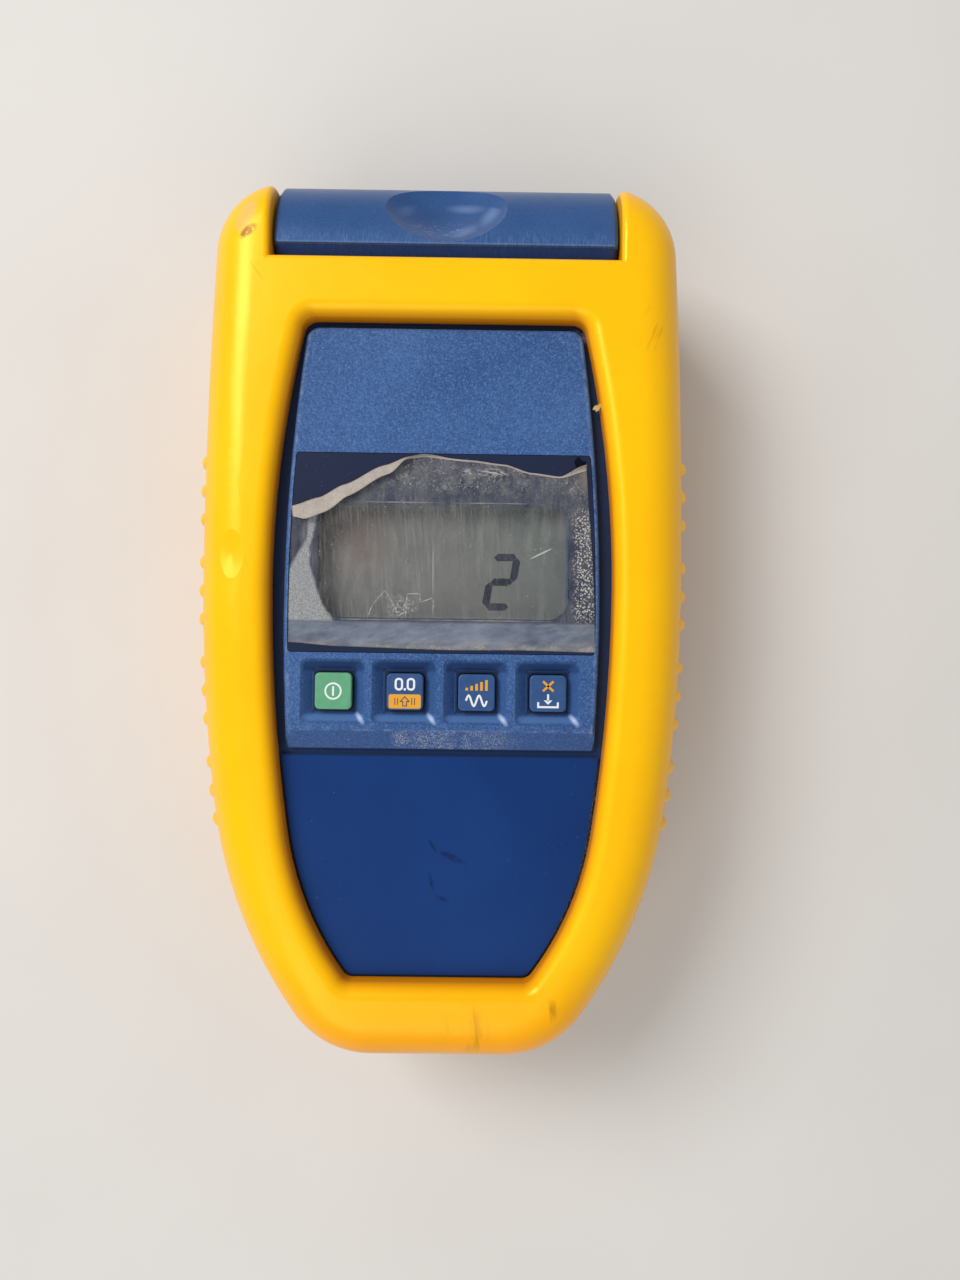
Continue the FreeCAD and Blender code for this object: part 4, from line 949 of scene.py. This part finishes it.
def draw_up_arrow(work, cx, cy, low, high):
    """Arrow between two pairs of bars, printed over the block."""
    y = cy - BLOCK_DROP
    low, high = low + MARK_HIGH, high + MARK_HIGH
    arrow = [(cx - 0.30, y - 0.75), (cx - 0.30, y - 0.02), (cx - 0.72, y - 0.02), (cx, y + 0.78),
             (cx + 0.72, y - 0.02), (cx + 0.30, y - 0.02), (cx + 0.30, y - 0.75)]
    stroke(work, arrow, 0.15, low, high, True)
    for side in (-1, 1):
        for reach in (1.15, 1.6):
            x = cx + side * reach
            stroke(work, [(x, y - 0.55), (x, y + 0.55)], 0.14, low, high)


def draw_level_bars(work, cx, cy, low, high):
    for i in range(5):
        x = cx + (i - 2) * 0.80
        stroke(work, [(x, cy + 0.35), (x, cy + 0.80 + 0.32 * i)], 0.42, low, high)


def draw_wave(work, cx, cy, low, high):
    points = []
    for i in range(33):
        share = i / 32
        points.append((cx - 1.7 + 3.4 * share, cy - 1.30 + 0.85 * math.sin(4 * math.pi * share)))
    stroke(work, points, 0.32, low, high)


def draw_cross(work, cx, cy, low, high):
    y = cy + 1.20
    for side in (-1, 1):
        stroke(work, [(cx - 0.85, y - 0.80 * side), (cx + 0.85, y + 0.80 * side)], 0.36, low, high)


def draw_store(work, cx, cy, low, high):
    """Arrow down into a tray."""
    y = cy - 1.25
    stroke(work, [(cx, y + 1.15), (cx, y)], 0.32, low, high)
    raise_outline(work, [(cx - 0.70, y + 0.15), (cx, y - 0.55), (cx + 0.70, y + 0.15)], low, high)
    stroke(work, [(cx - 1.6, y - 0.15), (cx - 1.6, y - 0.95), (cx + 1.6, y - 0.95),
                  (cx + 1.6, y - 0.15)], 0.32, low, high)


def make_key_marks():
    """Printed marks, each riding on its own key."""
    white = ink("mark_white", (226, 229, 232))
    orange = ink("mark_orange", (222, 156, 26))
    dark = ink("mark_dark", (38, 50, 84))
    marks = [("power_mark", "power", draw_power, white, "green_key"),
             ("zero_mark", "reference", draw_zero, white, "blue_key"),
             ("store_block", "reference", draw_block, orange, "blue_key"),
             ("store_arrow", "reference", draw_up_arrow, dark, "blue_key"),
             ("level_mark", "wavelength", draw_level_bars, orange, "blue_key"),
             ("wave_mark", "wavelength", draw_wave, white, "blue_key"),
             ("cross_mark", "save", draw_cross, orange, "blue_key"),
             ("tray_mark", "save", draw_store, white, "blue_key")]
    for mark in marks:
        print_on_key(*mark)


def make_specks():
    """A crumb in the gap beside the raised panel and a small dark patch on the display plate."""
    lens_top = box_of("display_lens")[1].z / MM
    shell_top = box_of("front_shell")[1].z / MM
    lift = 0.005
    # name, middle, half sizes, turn, height of what it lies on, rise, colours and slot
    specks = [("lens_dark_patch", (22.2, 24.25), (0.85, 1.45), 0.0, lens_top, 0.05,
               ((0, 3, 20), (2, 6, 26)), "lens_acrylic"),
              ("rim_crumb", (24.9, 33.8), (0.75, 0.45), 0.7, shell_top, 0.35,
               ((206, 176, 110), (120, 104, 80)), "boot_rubber")]
    for name, middle, half, turn, floor_z, rise, colours, slot in specks:
        points = []
        for i in range(14):
            angle = 2 * math.pi * i / 14
            reach = 1 + 0.22 * math.sin(3 * angle + 1) + 0.14 * math.sin(5 * angle)
            x = half[0] * reach * math.cos(angle)
            y = half[1] * reach * math.sin(angle)
            points.append(((middle[0] + x * math.cos(turn) - y * math.sin(turn)) * MM,
                           (middle[1] + x * math.sin(turn) + y * math.cos(turn)) * MM))
        mesh = mesh_of(name, lambda work: raise_outline(work, points, (floor_z + lift) * MM,
                                                        (floor_z + rise) * MM))
        add_piece(name, mesh, "housing", plain_finish(name, *colours, 900, shine=0.1))


def smooth_shading(mesh):
    """Shade faces that meet at less than the smooth limit as one curved surface."""
    keys = [tuple(round(value * 1e6) for value in vertex.co) for vertex in mesh.vertices]
    faces_at = {}
    for face in mesh.polygons:
        for vertex in face.vertices:
            faces_at.setdefault(keys[vertex], []).append(face.index)
    normals = [face.normal.copy() for face in mesh.polygons]
    areas = [face.area for face in mesh.polygons]
    least = math.cos(math.radians(SMOOTH_LIMIT))
    corners = []
    for face in mesh.polygons:
        own = normals[face.index]
        for vertex in face.vertices:
            total = Vector((0, 0, 0))
            for other in faces_at[keys[vertex]]:
                if own.dot(normals[other]) > least:
                    total += normals[other] * areas[other]
            corners.append(total.normalized() if total.length > 0 else own)
    mesh.polygons.foreach_set("use_smooth", [True] * len(mesh.polygons))
    mesh.normals_split_custom_set(corners)


def plain_looks():
    """Finishes of the nodes that have one plain surface."""
    # name, two colours, scale of the grain, roughness, metal and stretch of the grain
    plain = {
        "rear_label": ("rear_plate", (190, 192, 192), (170, 172, 174), 120, 0.45),
        "display_lens": ("lens_plain", (41, 53, 75), (48, 62, 86), 60, 0.2),
        "display_film": ("film_plain", (168, 164, 150), (200, 196, 182)),
        "lcd_frame": ("frame_white", (206, 206, 200), (190, 190, 186)),
        "lcd_connectors": ("zebra_grey", (88, 90, 96), (128, 128, 132), 900, 0.6, 0.0,
                           (1, 0.02, 0.02)),
        "keypad_mat": ("mat_grey", (112, 114, 118), (98, 100, 106), 240, 0.6),
        "battery": ("battery_skin", (44, 44, 48), (62, 62, 66), 90, 0.35, 0.4, (1, 0.1, 1)),
        "battery_contacts": ("brass", (214, 184, 110), (188, 152, 84), 300, 0.28, 1.0),
        "port_body": ("nickel", (200, 202, 204), (178, 180, 184), 300, 0.3, 1.0, (1, 0.06, 1)),
        "fibre_adapter": ("anodised", (206, 208, 210), (184, 186, 190), 420, 0.34, 1.0,
                          (1, 0.08, 1)),
        "port_gasket": ("gasket_grey", (70, 72, 76), (84, 86, 90), 300, 0.6),
    }
    looks = {node: plain_finish(*look) for node, look in plain.items()}
    steel = plain_finish("steel", (178, 180, 184), (150, 152, 158), 400, 0.32, 1.0)
    for node in ("case_screws", "board_screws", "cover_pins", "port_nut", "photodiode"):
        looks[node] = steel
    black = plain_finish("black_plastic", (32, 32, 34), (46, 46, 50), 400, 0.5)
    for node in ("controller_chip", "amplifier_chip", "key_switches", "contact_block"):
        looks[node] = black
    return looks


def dress_nodes():
    """Give every CAD node its finish."""
    rear = ((58, 86, 132), (88, 114, 158), 0.5)
    looks = plain_looks()
    looks.update({
        "boot": boot_finish(),
        "front_shell": moulded("front_blue", (48, 80, 130), (88, 122, 176), 0.8, shell_wear_and_painted_light),
        "rear_shell": moulded("rear_blue", *rear),
        "battery_door": moulded("door_blue", *rear),
        "port_cover": moulded("cover_blue", (44, 76, 126), (66, 100, 150), 0.35, cover_wear_and_painted_light,
                              (0.28, 0.36)),
        "power_button": key_finish("green_key", (84, 152, 114), (122, 182, 144)),
        "front_label": label_finish(),
        "main_board": board_finish(),
        "lcd_glass": display_finish(),
    })
    for button in ("reference_button", "wavelength_button", "save_button"):
        looks[button] = key_finish(button, (36, 70, 118), (70, 102, 152))
    for node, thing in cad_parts.items():
        smooth_shading(thing.data)
        thing.data.materials.clear()
        thing.data.materials.append(looks[node])


# Floor, lights and camera


def make_floor():
    """Plain pale floor, wide enough for every angle."""
    reach = FLOOR_REACH
    corners = ((-reach, -reach, 0), (reach, -reach, 0), (reach, reach, 0), (-reach, reach, 0))
    mesh = mesh_of("floor", lambda work: work.faces.new([work.verts.new(corner)
                                                         for corner in corners]))
    floor = put("floor", mesh)
    f = Finish("floor_pale")
    tone = f.grain(14, 3, 0.5, 0.3, 0.7)
    f.set(Base_Color=f.blend(tone, paint(214, 211, 207), paint(210, 207, 203)), Roughness=0.85,
          Specular_IOR_Level=0.2)
    mesh.materials.append(f.material)


def add_lamp(name, place, size, power, colour):
    """Square soft lamp aimed at the middle of the object."""
    lamp = bpy.data.lights.new(name, "AREA")
    lamp.shape = "SQUARE"
    lamp.size = size
    lamp.energy = power
    lamp.color = colour
    thing = put(name, lamp)
    thing.location = place
    way = Vector(LAMP_AIM) - Vector(place)
    thing.rotation_euler = way.to_track_quat("-Z", "Y").to_euler()


def light_scene():
    world = bpy.data.worlds.new("studio")
    world.use_nodes = True
    backdrop = world.node_tree.nodes["Background"]
    backdrop.inputs["Color"].default_value = (1.0, 1.0, 1.0, 1.0)
    backdrop.inputs["Strength"].default_value = WORLD_STRENGTH
    bpy.context.scene.world = world
    add_lamp("key_lamp", (-0.51, 0.40, 0.75), size=0.44, power=6.7, colour=(1.0, 0.99, 0.975))
    add_lamp("fill_lamp", (-0.20, -0.55, 0.75), size=0.60, power=2.4, colour=(0.98, 0.99, 1.0))


def place_camera():
    lens = bpy.data.cameras.new("camera")
    lens.lens = 27.0
    lens.sensor_width = 36.0
    lens.clip_start = 0.01
    camera = put("camera", lens)
    camera.location = (0.00532, -0.0046, 0.19436)
    camera.rotation_euler = tuple(math.radians(angle) for angle in (0.11, -0.36, 0.74))
    bpy.context.scene.camera = camera
    bpy.context.scene.view_settings.view_transform = "Standard"


dress_nodes()
split_lens()
make_film()
make_digit()
make_key_marks()
make_specks()
make_floor()
light_scene()
place_camera()
